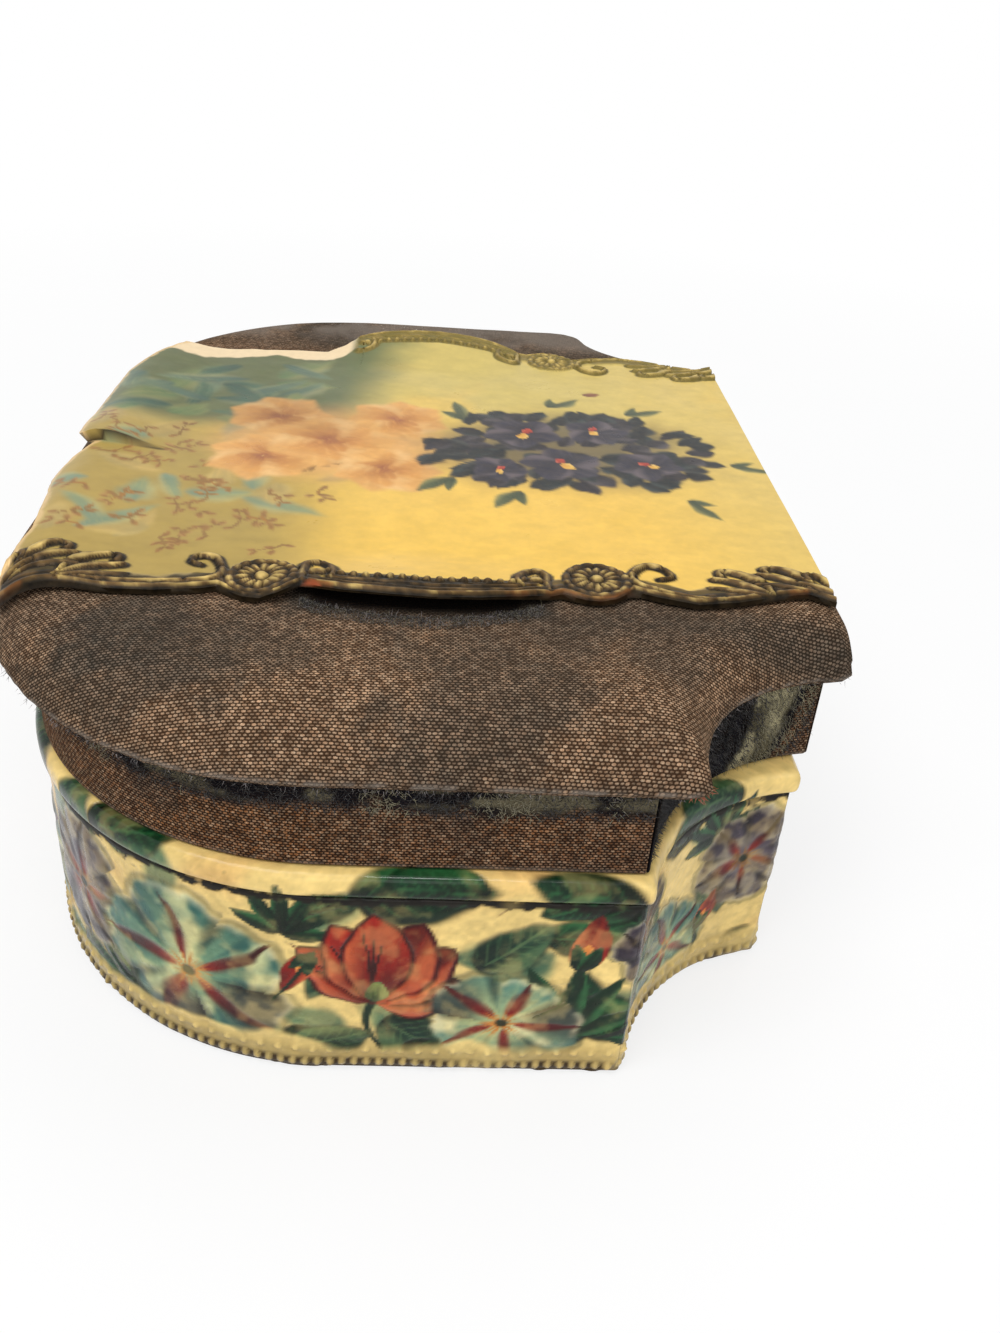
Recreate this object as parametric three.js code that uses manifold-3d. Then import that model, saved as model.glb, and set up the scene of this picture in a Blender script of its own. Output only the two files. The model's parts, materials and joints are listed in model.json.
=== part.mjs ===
// A hinged jewelry box of thin board, faced with embossed celluloid below and covered with plush above.
// Millimetres, +Z up, front towards -Y, hinges at +Y. The origin is the middle of the box's footprint,
// on the surface it stands on.
import * as THREE from "three";
import { mergeVertices } from "three/addons/utils/BufferGeometryUtils.js";
import Module from "manifold-3d";

const wasm = await Module();
wasm.setup();

// Driving dimensions
const baseWidth = 147.2; // across the straight sides, over the celluloid
const baseDepth = 101.2; // front to back, over the celluloid
const baseHeight = 33; // to the top of the rim
const lidSeam = 0.3; // between the rim and the skirt of the lid
const flangeRise = 13.2; // from the rim to the edge of the lid's flange
const roofRise = 7.8; // from there to the lid's flat top
const frontLip = 4.9; // the lid's overhang at the front, where a finger lifts it
const sideLip = 1.2; // at the sides, over the base
const backLip = 3.5; // at the back, over the skirt
const skirtBackStep = 2.2; // the skirt stands this far behind the base
const skirtInset = 0.7; // and this far inside its sides
const lidWidth = baseWidth + 2 * sideLip; // across the flange of the lid
const lidDepth = frontLip + baseDepth + skirtBackStep + backLip;
const flangeHeight = baseHeight + flangeRise;
const plushHeight = flangeHeight + roofRise;

// Board, sheet and clearances
const board = 3; // walls, floor and skirt
const lidBoard = 2.2;
const celluloid = 0.7;
const plush = 0.8;
const satin = 1;
const paper = 0.6;
const glue = 0.3; // between two layers that are stuck together
const joint = 0.3; // between two boards that meet at a corner
const overrun = 4; // how far a cutter passes what it cuts

// Rounding and coves in plan: a cove's length runs along the side, its width along the back, and its
// depth is measured from the straight line between its ends
const baseFrontRadius = 41;
const baseCove = { length: 22.3, width: 22.2, depth: 5.1 };
const skirtCove = { length: 24.7, width: 24.8, depth: 5.7 };
const flangeFrontRadius = 43.9;
const flangeCove = { length: 22.4, width: 24.9, depth: 8 };
const flangeCornerRound = 3.2;
const wallCornerRound = 0.7;
const rollWidth = 11.7; // of the rolled edge round the lid's flat top
const frontRollWidth = 9.4;
const backRollWidth = 4.6;
const topCove = { length: 27.6, width: 17.1, depth: 4 };
const rollAngle = THREE.MathUtils.degToRad(75);

// Steps round the outline and round small parts
const frontArcSteps = 10;
const coveSteps = 8;
const rollSteps = 5;
const curveSteps = 4;
const roundSides = 20;
const weld = 1e-4; // vertices nearer than this are one

// Places along Y
const lidFront = -lidDepth / 2;
const lidBack = lidDepth / 2;
const baseFront = lidFront + frontLip;
const baseBack = baseFront + baseDepth;
const skirtBack = baseBack + skirtBackStep;

const basePlan = {
  halfWidth: baseWidth / 2,
  front: baseFront,
  back: baseBack,
  frontRadius: baseFrontRadius,
  cove: baseCove,
  cornerRound: wallCornerRound,
};
const skirtPlan = {
  halfWidth: baseWidth / 2 - skirtInset,
  front: baseFront,
  back: skirtBack,
  frontRadius: baseFrontRadius,
  cove: skirtCove,
  cornerRound: wallCornerRound,
};
const flangePlan = {
  halfWidth: lidWidth / 2,
  front: lidFront,
  back: lidBack,
  frontRadius: flangeFrontRadius,
  cove: flangeCove,
  cornerRound: flangeCornerRound,
};
const topPlan = {
  halfWidth: lidWidth / 2 - rollWidth,
  front: lidFront + frontRollWidth,
  back: lidBack - backRollWidth,
  frontRadius: flangeFrontRadius - frontRollWidth,
  cove: topCove,
  cornerRound: flangeCornerRound,
};

// Named stations of an outline, counted anticlockwise from the middle of the front
const arcEnd = 1 + frontArcSteps;
const sideEnd = arcEnd + 1;
const corner = sideEnd + 1;
const coveStart = corner + 1;
const coveEnd = coveStart + coveSteps;
const tip = coveEnd + 1;
const backStart = tip + 1;
const backMiddle = backStart + 1;
const stations = 2 * backMiddle;

// Pieces round the box, each from one station to another: boards, and the sheets that face them
const boardPieces = [
  ["front", -arcEnd, arcEnd],
  ["right", arcEnd, corner],
  ["right_cove", corner, tip],
  ["back", tip, stations - tip],
  ["left_cove", stations - tip, stations - corner],
  ["left", stations - corner, stations - arcEnd],
];
const facePieces = [
  ["front", -corner, corner],
  ["right_cove", corner, tip],
  ["back", tip, stations - tip],
  ["left_cove", stations - tip, stations - corner],
];

// Circle of a cove: through its two ends, hollowed by its depth.
function coveCircle(plan) {
  const { length, width, depth } = plan.cove;
  const a = new THREE.Vector2(plan.halfWidth, plan.back - length);
  const b = new THREE.Vector2(plan.halfWidth - width, plan.back);
  const chord = a.distanceTo(b);
  const radius = chord ** 2 / (8 * depth) + depth / 2;
  const out = new THREE.Vector2(length, width).normalize();
  const centre = a.clone().add(b).multiplyScalar(0.5).addScaledVector(out, radius - depth);
  return { centre, radius };
}

// Three points that round the corner at the middle one, cut back by a length on each side.
function rounded(before, at, after, length) {
  const p = before.clone().sub(at).setLength(length).add(at);
  const q = after.clone().sub(at).setLength(length).add(at);
  const middle = p.clone().add(q).multiplyScalar(0.25).addScaledVector(at, 0.5);
  return [p, middle, q];
}

// The plan's outline, moved inwards by an inset, as points at the named stations.
function outline(plan, inset) {
  const side = plan.halfWidth - inset;
  const front = plan.front + inset;
  const back = plan.back - inset;
  const turn = new THREE.Vector2(plan.halfWidth - plan.frontRadius, plan.front + plan.frontRadius);
  const right = [new THREE.Vector2(0, front)];
  for (let i = 0; i <= frontArcSteps; i++) {
    const angle = (Math.PI / 2) * (i / frontArcSteps - 1);
    const radius = plan.frontRadius - inset;
    right.push(new THREE.Vector2(Math.cos(angle), Math.sin(angle)).multiplyScalar(radius).add(turn));
  }
  const { centre, radius } = coveCircle(plan);
  const hollow = radius + inset;
  const a = new THREE.Vector2(side, centre.y - Math.sqrt(hollow ** 2 - (centre.x - side) ** 2));
  const b = new THREE.Vector2(centre.x - Math.sqrt(hollow ** 2 - (centre.y - back) ** 2), back);
  const from = a.clone().sub(centre).angle();
  const to = b.clone().sub(centre).angle();
  const cove = (share) => {
    const angle = from + (to - from) * share;
    return new THREE.Vector2(Math.cos(angle), Math.sin(angle)).multiplyScalar(hollow).add(centre);
  };
  const trim = plan.cornerRound / a.distanceTo(b);
  right.push(...rounded(right[arcEnd], a, cove(trim), plan.cornerRound));
  for (let i = 1; i < coveSteps; i++) right.push(cove(trim + ((1 - 2 * trim) * i) / coveSteps));
  right.push(...rounded(cove(1 - trim), b, new THREE.Vector2(0, back), plan.cornerRound));
  right.push(new THREE.Vector2(0, back));
  const left = right.slice(1, -1).reverse().map((p) => new THREE.Vector2(-p.x, p.y));
  return [...right, ...left];
}

// A closed mesh from rows of points and triangles that index them, turned to face outwards.
function closedMesh(points, triangles) {
  let volume = 0;
  for (let i = 0; i < triangles.length; i += 3) {
    const [a, b, c] = [0, 1, 2].map((k) => points[triangles[i + k]]);
    volume += a.dot(b.clone().cross(c));
  }
  if (volume < 0) triangles = triangles.slice().reverse();
  const geometry = new THREE.BufferGeometry();
  const flat = new Float32Array(points.length * 3);
  points.forEach((p, i) => p.toArray(flat, 3 * i));
  geometry.setAttribute("position", new THREE.BufferAttribute(flat, 3));
  geometry.setIndex(triangles);
  return geometry;
}

// Quads between neighbouring rows of points, closed round each row where asked.
function weave(rows, count, closed) {
  const triangles = [];
  const columns = closed ? count : count - 1;
  for (let r = 0; r + 1 < rows; r++) {
    for (let c = 0; c < columns; c++) {
      const d = (c + 1) % count;
      const [p, q, s, t] = [r * count + c, r * count + d, (r + 1) * count + c, (r + 1) * count + d];
      triangles.push(p, q, t, p, t, s);
    }
  }
  return triangles;
}

const lift = (ring, z) => ring.map((p) => new THREE.Vector3(p.x, p.y, z));

// Triangles over a flat loop of points, wound the way the loop runs.
function cover(loop) {
  const turn = THREE.ShapeUtils.area(loop);
  return THREE.ShapeUtils.triangulateShape(loop, []).map((face) =>
    turn * THREE.ShapeUtils.area(face.map((i) => loop[i])) > 0 ? face : face.reverse(),
  );
}

// A solid from a stack of closed rings, capped at the first and the last.
function stacked(rings) {
  const count = rings[0].length;
  const end = (rings.length - 1) * count;
  const flat = (ring) => ring.map((p) => new THREE.Vector2(p.x, p.y));
  const bottom = cover(flat(rings[0])).flatMap(([a, b, c]) => [c, b, a]);
  const top = cover(flat(rings.at(-1))).flatMap((face) => face.map((i) => i + end));
  return closedMesh(rings.flat(), [...weave(rings.length, count, true), ...bottom, ...top]);
}

// The section of an upright layer between two insets and two heights.
const upstand = (outer, inner, low, high) => [
  [outer, low],
  [outer, high],
  [inner, high],
  [inner, low],
];

// A section of [inset, height] pairs carried all round a plan.
function band(plan, section) {
  const loop = [...section, section[0]];
  const rings = section.map(([inset, z]) => lift(outline(plan, inset), z));
  const count = rings[0].length;
  const triangles = weave(loop.length, count, true).map((i) => i % (section.length * count));
  return closedMesh(rings.flat(), triangles);
}

// A section carried along part of a plan, from one station to another, with closed ends that stand
// back from the neighbouring piece.
function strip(plan, section, from, to, back = joint / 2) {
  const rails = section.map(([inset, z]) => {
    const ring = outline(plan, inset);
    const rail = [];
    for (let i = from; i <= to; i++) rail.push(ring[(i + stations) % stations].clone());
    const inwards = [rail[1].clone().sub(rail[0]), rail.at(-2).clone().sub(rail.at(-1))];
    rail[0].add(inwards[0].setLength(back));
    rail.at(-1).add(inwards[1].setLength(back));
    return lift(rail, z);
  });
  const count = rails[0].length;
  const triangles = weave(section.length + 1, count, false).map((i) => i % (section.length * count));
  const last = count - 1;
  for (const [a, b, c] of cover(section.map(([x, y]) => new THREE.Vector2(x, y)))) {
    triangles.push(a * count, b * count, c * count);
    triangles.push(c * count + last, b * count + last, a * count + last);
  }
  return closedMesh(rails.flat(), triangles);
}

// Booleans
function solid(geometry) {
  const plain = geometry.index ? geometry.toNonIndexed() : geometry.clone();
  for (const name of Object.keys(plain.attributes)) {
    if (name !== "position") plain.deleteAttribute(name);
  }
  const merged = mergeVertices(plain, weld);
  return new wasm.Manifold(
    new wasm.Mesh({
      numProp: 3,
      vertProperties: merged.attributes.position.array,
      triVerts: new Uint32Array(merged.index.array),
    }),
  );
}

function geometryOf(manifold) {
  const mesh = manifold.getMesh();
  const geometry = new THREE.BufferGeometry();
  const flat = new Float32Array(mesh.numVert * 3);
  for (let i = 0; i < mesh.numVert; i++) {
    flat.set(mesh.vertProperties.subarray(i * mesh.numProp, i * mesh.numProp + 3), i * 3);
  }
  geometry.setAttribute("position", new THREE.BufferAttribute(flat, 3));
  geometry.setIndex(new THREE.BufferAttribute(mesh.triVerts, 1));
  return geometry;
}

const joined = (...all) => geometryOf(all.map(solid).reduce((a, b) => a.add(b)));
const cut = (from, ...tools) => geometryOf(tools.map(solid).reduce((a, b) => a.subtract(b), solid(from)));
const common = (a, b) => geometryOf(solid(a).intersect(solid(b)));

// A box between two corners
function block(low, high) {
  const size = high.map((h, i) => h - low[i]);
  const centre = high.map((h, i) => (h + low[i]) / 2);
  return new THREE.BoxGeometry(...size).translate(...centre);
}

// A cylinder along Y between two places
function rodY(x, z, radius, from, to) {
  return new THREE.CylinderGeometry(radius, radius, to - from, roundSides)
    .translate(x, (from + to) / 2, 0)
    .translate(0, 0, z);
}

// A flat shape given a thickness
const extruded = (shape, depth, curveSegments = curveSteps) =>
  new THREE.ExtrudeGeometry(shape, { depth, bevelEnabled: false, curveSegments });

// Finishes
const finish = (color, roughness, metalness = 0) =>
  new THREE.MeshStandardMaterial({ color, roughness, metalness });
const finishes = {
  paper: finish(0x6e5f4c, 0.9),
  board: finish(0xa08258, 0.85),
  celluloid: finish(0xe3cf9b, 0.3),
  satin: finish(0xb9a878, 0.6),
  plush: finish(0x6b4e3e, 0.95),
  panel: finish(0xe2c46a, 0.35),
  brass: finish(0x9a7b3c, 0.45, 1),
  steel: finish(0x6f6c66, 0.5, 1),
};

const box = new THREE.Group();
const base = new THREE.Group();
const lid = new THREE.Group();
box.add(base, lid);

function place(group, name, geometry, material) {
  const mesh = new THREE.Mesh(geometry, material.clone());
  mesh.name = name;
  group.add(mesh);
}

// Base: floor and walls
const wallFace = celluloid + glue; // inset of the walls' outer face
const wallBack = wallFace + board;
const liningFace = wallBack + glue;
const padFace = liningFace + satin + glue;
const rimThickness = 0.6;
const wallTop = baseHeight - rimThickness - glue;
const wallFoot = paper + glue;
const floorTop = wallFoot + board;
const buttonRadius = 2.5;
const buttonPlay = 0.4; // round the button's head, which sinks into the wall when it is pushed
const buttonBore = buttonRadius + buttonPlay;
const buttonDrop = 9; // from the rim down to the button's middle
const buttonHeight = baseHeight - buttonDrop;
const buttonHole = rodY(
  0,
  buttonHeight,
  buttonBore,
  baseFront - overrun,
  baseFront + wallBack + overrun,
);

const level = (inset, z, plan = basePlan) => lift(outline(plan, inset), z);

place(base, "bottom_paper", stacked([level(wallFace, 0), level(wallFace, paper)]), finishes.paper);
place(
  base,
  "floor_board",
  stacked([level(wallBack + glue, wallFoot), level(wallBack + glue, floorTop)]),
  finishes.board,
);
const wallSection = upstand(wallFace, wallBack, wallFoot, wallTop);
for (const [name, from, to] of boardPieces) {
  place(base, `base_${name}_wall`, cut(strip(basePlan, wallSection, from, to), buttonHole), finishes.board);
}

// Base: embossed celluloid, with the raised foot that carries the beading
const groove = 0.4; // the dark line under the rim
const rimHeight = 3.4;
const rimFoot = baseHeight - rimHeight;
const faceTop = rimFoot - groove;
const footProud = 0.5;
const footLow = 1;
const footHigh = 4.4;
const footEase = 0.6;
const faceFoot = glue;
const faceSection = [
  [0, faceFoot],
  [0, footLow - footEase / 2],
  [-footProud, footLow],
  [-footProud, footHigh - footEase],
  [0, footHigh],
  [0, faceTop],
  [celluloid, faceTop],
  [celluloid, faceFoot],
];
for (const [name, from, to] of facePieces) {
  const face = cut(strip(basePlan, faceSection, from, to), buttonHole);
  place(base, `celluloid_${name}`, face, finishes.celluloid);
}

// Hinges: a stop hinge with five knuckles, its pin, and a toe that lands on the lower leaf
const hingeShare = 0.545; // of the way from the middle of the back to where a cove starts
const hingeOffset = hingeShare * (baseWidth / 2 - baseCove.width);
const hingeWidth = 20;
const hingeSheet = 0.6;
const knuckles = 5;
const knuckleGap = 0.2;
const knuckleRadius = 1.4;
const pinRadius = 0.55;
const pinPlay = 0.1;
const pinHead = 0.5; // how far the pin stands out of the last knuckle
const knuckleSides = 16;
const leafLength = 10;
const leafRound = 2;
const toeReach = 3;
const leafStandOff = 0.3;
const hingeY = baseBack + leafStandOff + knuckleRadius;
const hingeZ = baseHeight - knuckleRadius - leafStandOff;
const knuckleClear = knuckleRadius + knuckleGap;
const knucklePitch = hingeWidth / knuckles;
const knuckleAt = (centre, k) => centre + (k + 0.5) * knucklePitch - hingeWidth / 2;
const onLower = (k) => k % 2 === 0;
const onUpper = (k) => k % 2 === 1;
const notchHalf = hingeWidth / 2 + leafStandOff;

// Base: rolled rim over the walls' top edge, let in behind the hinges
const rimProud = 0.8;
const rimSection = [
  [-rimProud, rimFoot],
  [-rimProud, baseHeight - rimProud],
  [-rimProud / 2, baseHeight - rimProud / 4],
  [0, baseHeight],
  [wallBack, baseHeight],
  [wallBack, baseHeight - rimThickness],
  [celluloid, baseHeight - rimThickness],
  [celluloid, rimFoot],
];
const rimNotches = [-hingeOffset, hingeOffset].map((x) =>
  block(
    [x - notchHalf, baseBack, rimFoot - overrun],
    [x + notchHalf, baseBack + overrun, baseHeight + overrun],
  ),
);
place(base, "rim_band", cut(band(basePlan, rimSection), ...rimNotches), finishes.celluloid);

// Catch: a case behind the front wall, a push button whose bolt it guides, and a spring
const buttonTravel = 1.2;
const stemRadius = 1.3;
const hookSheet = 0.8;
const hookLip = 1;
const hookHalf = 4;
const hookPlay = 1.6; // between the stem and the foot of the hook above it
const boltSheet = 1.5;
const boltHalf = 3;
const boltRise = 4; // above the foot of the hook
const springSheet = 0.4;
const springBowShare = 1.5; // of the button's travel
const springBow = springBowShare * buttonTravel;
const caseSheet = 0.6;
const casePlay = 1.8; // beside the hook
const wallInside = baseFront + wallBack;
const hookY = wallInside + glue;
const hookFoot = buttonHeight + stemRadius + hookPlay;
const boltFace = hookY + hookSheet + hookLip + glue;
const boltLow = buttonHeight - stemRadius - glue;
const boltHigh = hookFoot + boltRise;
const springFace = boltFace + boltSheet + glue;
const springBack = springFace + springBow + springSheet;
const caseBack = springBack + glue + caseSheet;
const caseHalf = hookHalf + casePlay + caseSheet;
const caseLow = boltLow - glue - 2 * caseSheet;
const caseHigh = boltHigh + caseSheet;
const caseNotch = block(
  [-caseHalf - glue, wallInside - overrun, caseLow - glue],
  [caseHalf + glue, caseBack, baseHeight + overrun],
);

// Base: satin lining on the walls and a padded floor
const liningSection = upstand(liningFace, liningFace + satin, floorTop + glue, wallTop);
place(base, "base_lining", cut(band(basePlan, liningSection), caseNotch), finishes.satin);

const padThickness = 5;
const padDraw = 1.2; // its sides pull in this far under and over the fullest line
function cushion(plan, inset, low, high) {
  const height = high - low;
  const shares = [
    [1, 0],
    [0, 0.3],
    [0.3, 0.62],
    [1.8, 0.84],
    [5, 0.96],
    [11, 1],
  ];
  return stacked(shares.map(([draw, rise]) => level(inset + draw * padDraw, low + rise * height, plan)));
}
place(
  base,
  "floor_pad",
  cushion(basePlan, padFace, floorTop + glue, floorTop + glue + padThickness),
  finishes.satin,
);

function caseShell() {
  const outer = block([-caseHalf, wallInside + glue, caseLow], [caseHalf, caseBack, caseHigh]);
  const hollow = block(
    [-caseHalf + caseSheet, wallInside - overrun, caseLow + caseSheet],
    [caseHalf - caseSheet, caseBack - caseSheet, caseHigh + overrun],
  );
  return cut(outer, hollow);
}
place(base, "catch_case", caseShell(), finishes.steel);

const plateHalf = 11;
const plateRise = 4.6;
const plateSheet = 0.7;
function catchPlate() {
  const shape = new THREE.Shape().absellipse(0, 0, plateHalf, plateRise, 0, 2 * Math.PI);
  shape.holes.push(new THREE.Path().absarc(0, 0, buttonBore, 0, 2 * Math.PI, true));
  return extruded(shape, plateSheet, roundSides / 2)
    .rotateX(Math.PI / 2)
    .translate(0, baseFront - glue, buttonHeight);
}
place(base, "catch_plate", catchPlate(), finishes.brass);

// The button's stem passes under the hook; its bolt rises behind it.
const buttonDome = 0.9;
const buttonProud = 2.2; // of the plate
const domeShares = [
  [0, 0],
  [0.6, 0.2],
  [0.9, 0.6],
  [1, 1],
];
function pushButton() {
  const front = baseFront - glue - plateSheet - buttonProud;
  const headBack = baseFront - glue;
  const end = boltFace + boltSheet / 2;
  const profile = [
    ...domeShares.map(([r, y]) => [buttonRadius * r, buttonDome * y]),
    [buttonRadius, headBack - front],
    [stemRadius, headBack - front],
    [stemRadius, end - front],
    [0, end - front],
  ];
  const turned = new THREE.LatheGeometry(
    profile.map(([r, y]) => new THREE.Vector2(r, y)),
    roundSides,
  ).translate(0, front, buttonHeight);
  const bolt = block([-boltHalf, boltFace, boltLow], [boltHalf, boltFace + boltSheet, boltHigh]);
  return joined(turned, bolt);
}
const button = new THREE.Group();
box.add(button);
place(button, "catch_button", pushButton(), finishes.brass);

// A leaf spring bowed from the back of the case to the bolt
function catchSpring() {
  const foot = caseLow + caseSheet + glue;
  const top = boltHigh - glue;
  const back = springBack - springSheet;
  const line = new THREE.QuadraticBezierCurve(
    new THREE.Vector2(foot, back),
    new THREE.Vector2((foot + top) / 2, back),
    new THREE.Vector2(top, back - springBow),
  ).getPoints(coveSteps);
  const outside = line.map((p) => new THREE.Vector2(p.x, p.y + springSheet)).reverse();
  const shape = new THREE.Shape([...line, ...outside]);
  return extruded(shape, 2 * boltHalf)
    .translate(0, 0, -boltHalf)
    .rotateY(-Math.PI / 2);
}
place(base, "catch_spring", catchSpring(), finishes.steel);

// Hinges
function knuckle(x, length) {
  const bore = pinRadius + pinPlay;
  const profile = [
    [bore, -length / 2],
    [knuckleRadius, -length / 2],
    [knuckleRadius, length / 2],
    [bore, length / 2],
    [bore, -length / 2],
  ];
  return new THREE.LatheGeometry(
    profile.map(([r, y]) => new THREE.Vector2(r, y)),
    knuckleSides,
  )
    .rotateZ(-Math.PI / 2)
    .translate(x, hingeY, hingeZ);
}

// A leaf: a plate with rounded far corners, notched round the other leaf's knuckles.
function leaf(centre, near, direction, own) {
  const end = hingeZ + direction * leafLength;
  const half = hingeWidth / 2;
  const shape = new THREE.Shape();
  shape.moveTo(centre - half, hingeZ);
  shape.lineTo(centre - half, end - direction * leafRound);
  shape.quadraticCurveTo(centre - half, end, centre - half + leafRound, end);
  shape.lineTo(centre + half - leafRound, end);
  shape.quadraticCurveTo(centre + half, end, centre + half, end - direction * leafRound);
  shape.lineTo(centre + half, hingeZ);
  let plate = extruded(shape, hingeSheet)
    .rotateX(Math.PI / 2)
    .translate(0, near + hingeSheet, 0);
  const parts = [];
  const notches = [];
  for (let k = 0; k < knuckles; k++) {
    const x = knuckleAt(centre, k);
    if (own(k)) {
      parts.push(knuckle(x, knucklePitch - knuckleGap));
      continue;
    }
    const clear = (knucklePitch + knuckleGap) / 2;
    const [low, high] = [hingeZ - overrun, hingeZ + direction * knuckleClear].sort((a, b) => a - b);
    const bottom = direction > 0 ? low : hingeZ - knuckleClear;
    const top = direction > 0 ? high : hingeZ + overrun;
    notches.push(block([x - clear, near - overrun, bottom], [x + clear, near + overrun, top]));
  }
  plate = cut(plate, ...notches);
  return joined(plate, ...parts);
}

// The toe points straight back at rest and meets the lower leaf when the lid is fully open.
function toes(centre) {
  const length = knucklePitch - knuckleGap;
  return [...Array(knuckles).keys()].filter(onUpper).map((k) => {
    const x = knuckleAt(centre, k);
    return block(
      [x - length / 2, hingeY + knuckleRadius - hingeSheet, hingeZ - hingeSheet / 2],
      [x + length / 2, hingeY + toeReach, hingeZ + hingeSheet / 2],
    );
  });
}

for (const [name, centre] of [
  ["left", -hingeOffset],
  ["right", hingeOffset],
]) {
  const lower = leaf(centre, hingeY - knuckleRadius, -1, onLower);
  const upper = leaf(centre, hingeY + knuckleRadius - hingeSheet, 1, onUpper);
  const pin = new THREE.CylinderGeometry(pinRadius, pinRadius, hingeWidth + 2 * pinHead, knuckleSides)
    .rotateZ(-Math.PI / 2)
    .translate(centre, hingeY, hingeZ);
  place(base, `hinge_${name}_lower_leaf`, lower, finishes.brass);
  place(base, `hinge_${name}_pin`, pin, finishes.steel);
  place(lid, `hinge_${name}_upper_leaf`, joined(upper, ...toes(centre)), finishes.brass);
}

// Lid: rings of the rolled board at a depth below the plush, from the flange up to the flat top
function rollRings(depth) {
  const rings = [];
  for (let i = 0; i <= rollSteps; i++) {
    const angle = rollAngle * (1 - i / rollSteps);
    const out = Math.sin(angle) / Math.sin(rollAngle);
    const down = (1 - Math.cos(angle)) / (1 - Math.cos(rollAngle));
    const inset = depth * Math.sin(angle);
    const z = plushHeight - down * (plushHeight - flangeHeight) - depth * Math.cos(angle);
    const edge = outline(flangePlan, inset);
    const top = outline(topPlan, inset);
    rings.push(lift(edge.map((p, k) => top[k].clone().lerp(p, out)), z));
  }
  return rings;
}

// A layer of the lid between two depths, open below.
function layer(upper, lower) {
  return stacked([...rollRings(lower).reverse(), ...rollRings(upper)]);
}

// All that lies under the lid's board, to trim the skirt against.
function underBoard(depth) {
  const rings = rollRings(depth);
  const edge = rings[0][0].z;
  return stacked([
    lift(outline(flangePlan, -overrun), baseHeight - overrun),
    lift(outline(flangePlan, -overrun), edge),
    ...rings,
  ]);
}

const boardDepth = plush + glue;
const boardBack = boardDepth + lidBoard;
const under = underBoard(boardBack + glue);
place(lid, "lid_board", layer(boardDepth, boardBack), finishes.board);
place(lid, "lid_plush", layer(0, plush), finishes.plush);

// Lid: skirt boards, and the cloth that covers them
const skirtFoot = baseHeight + lidSeam;
const skirtFace = plush + glue;
const skirtInside = skirtFace + board;
const skirtSection = upstand(skirtFace, skirtInside, skirtFoot, plushHeight);
const clothSection = upstand(0, plush, skirtFoot, plushHeight);
const skirt = (name, section, from, to, material) =>
  place(lid, name, common(strip(skirtPlan, section, from, to), under), material);
for (const [name, from, to] of boardPieces) skirt(`skirt_${name}`, skirtSection, from, to, finishes.board);
for (const [name, from, to] of facePieces) {
  skirt(`skirt_cloth_${name}`, clothSection, from, to, finishes.plush);
}

// Lid: satin lining and its pad
const lidLiningFace = skirtInside + glue;
const lidLiningBack = lidLiningFace + satin;
const lidLiningSection = upstand(lidLiningFace, lidLiningBack, skirtFoot + glue, plushHeight);
const hookPlate = 8; // the height of the hook's plate on the skirt
const hookTop = skirtFoot + hookPlate;
const hookNotch = block(
  [-hookHalf - glue, wallInside - overrun, skirtFoot - overrun],
  [hookHalf + glue, wallInside + overrun, hookTop + glue],
);
place(lid, "lid_lining", cut(common(band(skirtPlan, lidLiningSection), under), hookNotch), finishes.satin);

const lidPadThickness = 4;
function lidPad() {
  const top = plushHeight - boardBack - glue;
  const pad = cushion(skirtPlan, lidLiningBack + glue, -top, lidPadThickness - top).scale(1, 1, -1);
  const turned = new THREE.BufferGeometry().setAttribute("position", pad.attributes.position);
  turned.setIndex(Array.from(pad.index.array).reverse());
  return common(turned, under);
}
place(lid, "lid_pad", lidPad(), finishes.satin);

// Lid: the hook that hangs behind the front wall, beside the bolt
function lidHook() {
  const tongue = block([-hookHalf, hookY, hookFoot], [hookHalf, hookY + hookSheet, hookTop]);
  const lip = block(
    [-hookHalf, hookY + hookSheet / 2, hookFoot],
    [hookHalf, hookY + hookSheet + hookLip, hookFoot + hookLip],
  );
  return joined(tongue, lip);
}
place(lid, "lid_hook", lidHook(), finishes.brass);

// Lid: the celluloid panel over the flat top, die-cut to a border of scrolls, rosettes and beaded bows
const panelFrontMargin = 3.9;
const panelBackMargin = 3.5;
const panelFront = lidFront + panelFrontMargin;
const panelBack = lidBack - panelBackMargin;
const sideMargins = {
  front: 29.6, // the sheet's front corner
  back: 33.4, // its back corner
  broken: 33.8, // the left front corner, which has lost its rosette and scroll
  frontRosette: 29.6,
  backRosette: 32.1,
  bow: 23.2, // the middle of a bow's outer edge
  bowEnd: 28.4,
  scrollRoot: 27.2,
};
const panelHalf = Object.fromEntries(
  Object.entries(sideMargins).map(([name, margin]) => [name, lidWidth / 2 - margin]),
);
const relief = 1; // of the border above the sheet
const rosetteRadius = 5;
const frontScrollLength = 32.5; // from the end of the sheet to the rosette's centre
const backScrollLength = 30.3;
const frontRosette = new THREE.Vector2(panelHalf.frontRosette, panelFront + frontScrollLength);
const backRosette = new THREE.Vector2(panelHalf.backRosette, panelBack - backScrollLength);
const bowMiddle = (frontRosette.y + backRosette.y) / 2;
const bowWidth = 5.4;
const beadRadius = 0.8;
const beadCount = 12;
const petals = 8;
const petalRadius = 1.5;
const bossRadius = 1.3;
const scrollWidth = 8.4;
const scrollBulge = 1.8;
const scrollEndShare = 0.6; // of its width, at the end of the panel
const scrollOver = 3; // how far a scroll's outer edge stands past the sheet
const panelDepth = -glue - celluloid;

// Leaf tips and the clefts between them along a scroll, as shares of its length and its width
const leafShares = [
  [0.03, 0.2, 0.1, 0.86],
  [0.22, 0.86, 0.23, 0.5],
  [0.3, 0.3, 0.36, 0.5],
  [0.44, 0.72, 0.54, 1],
  [0.54, 0.62, 0.62, 0.46],
  [0.7, 0.5, 0.82, 0.96],
  [0.8, 0.7, 0.88, 0.5],
];

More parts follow.
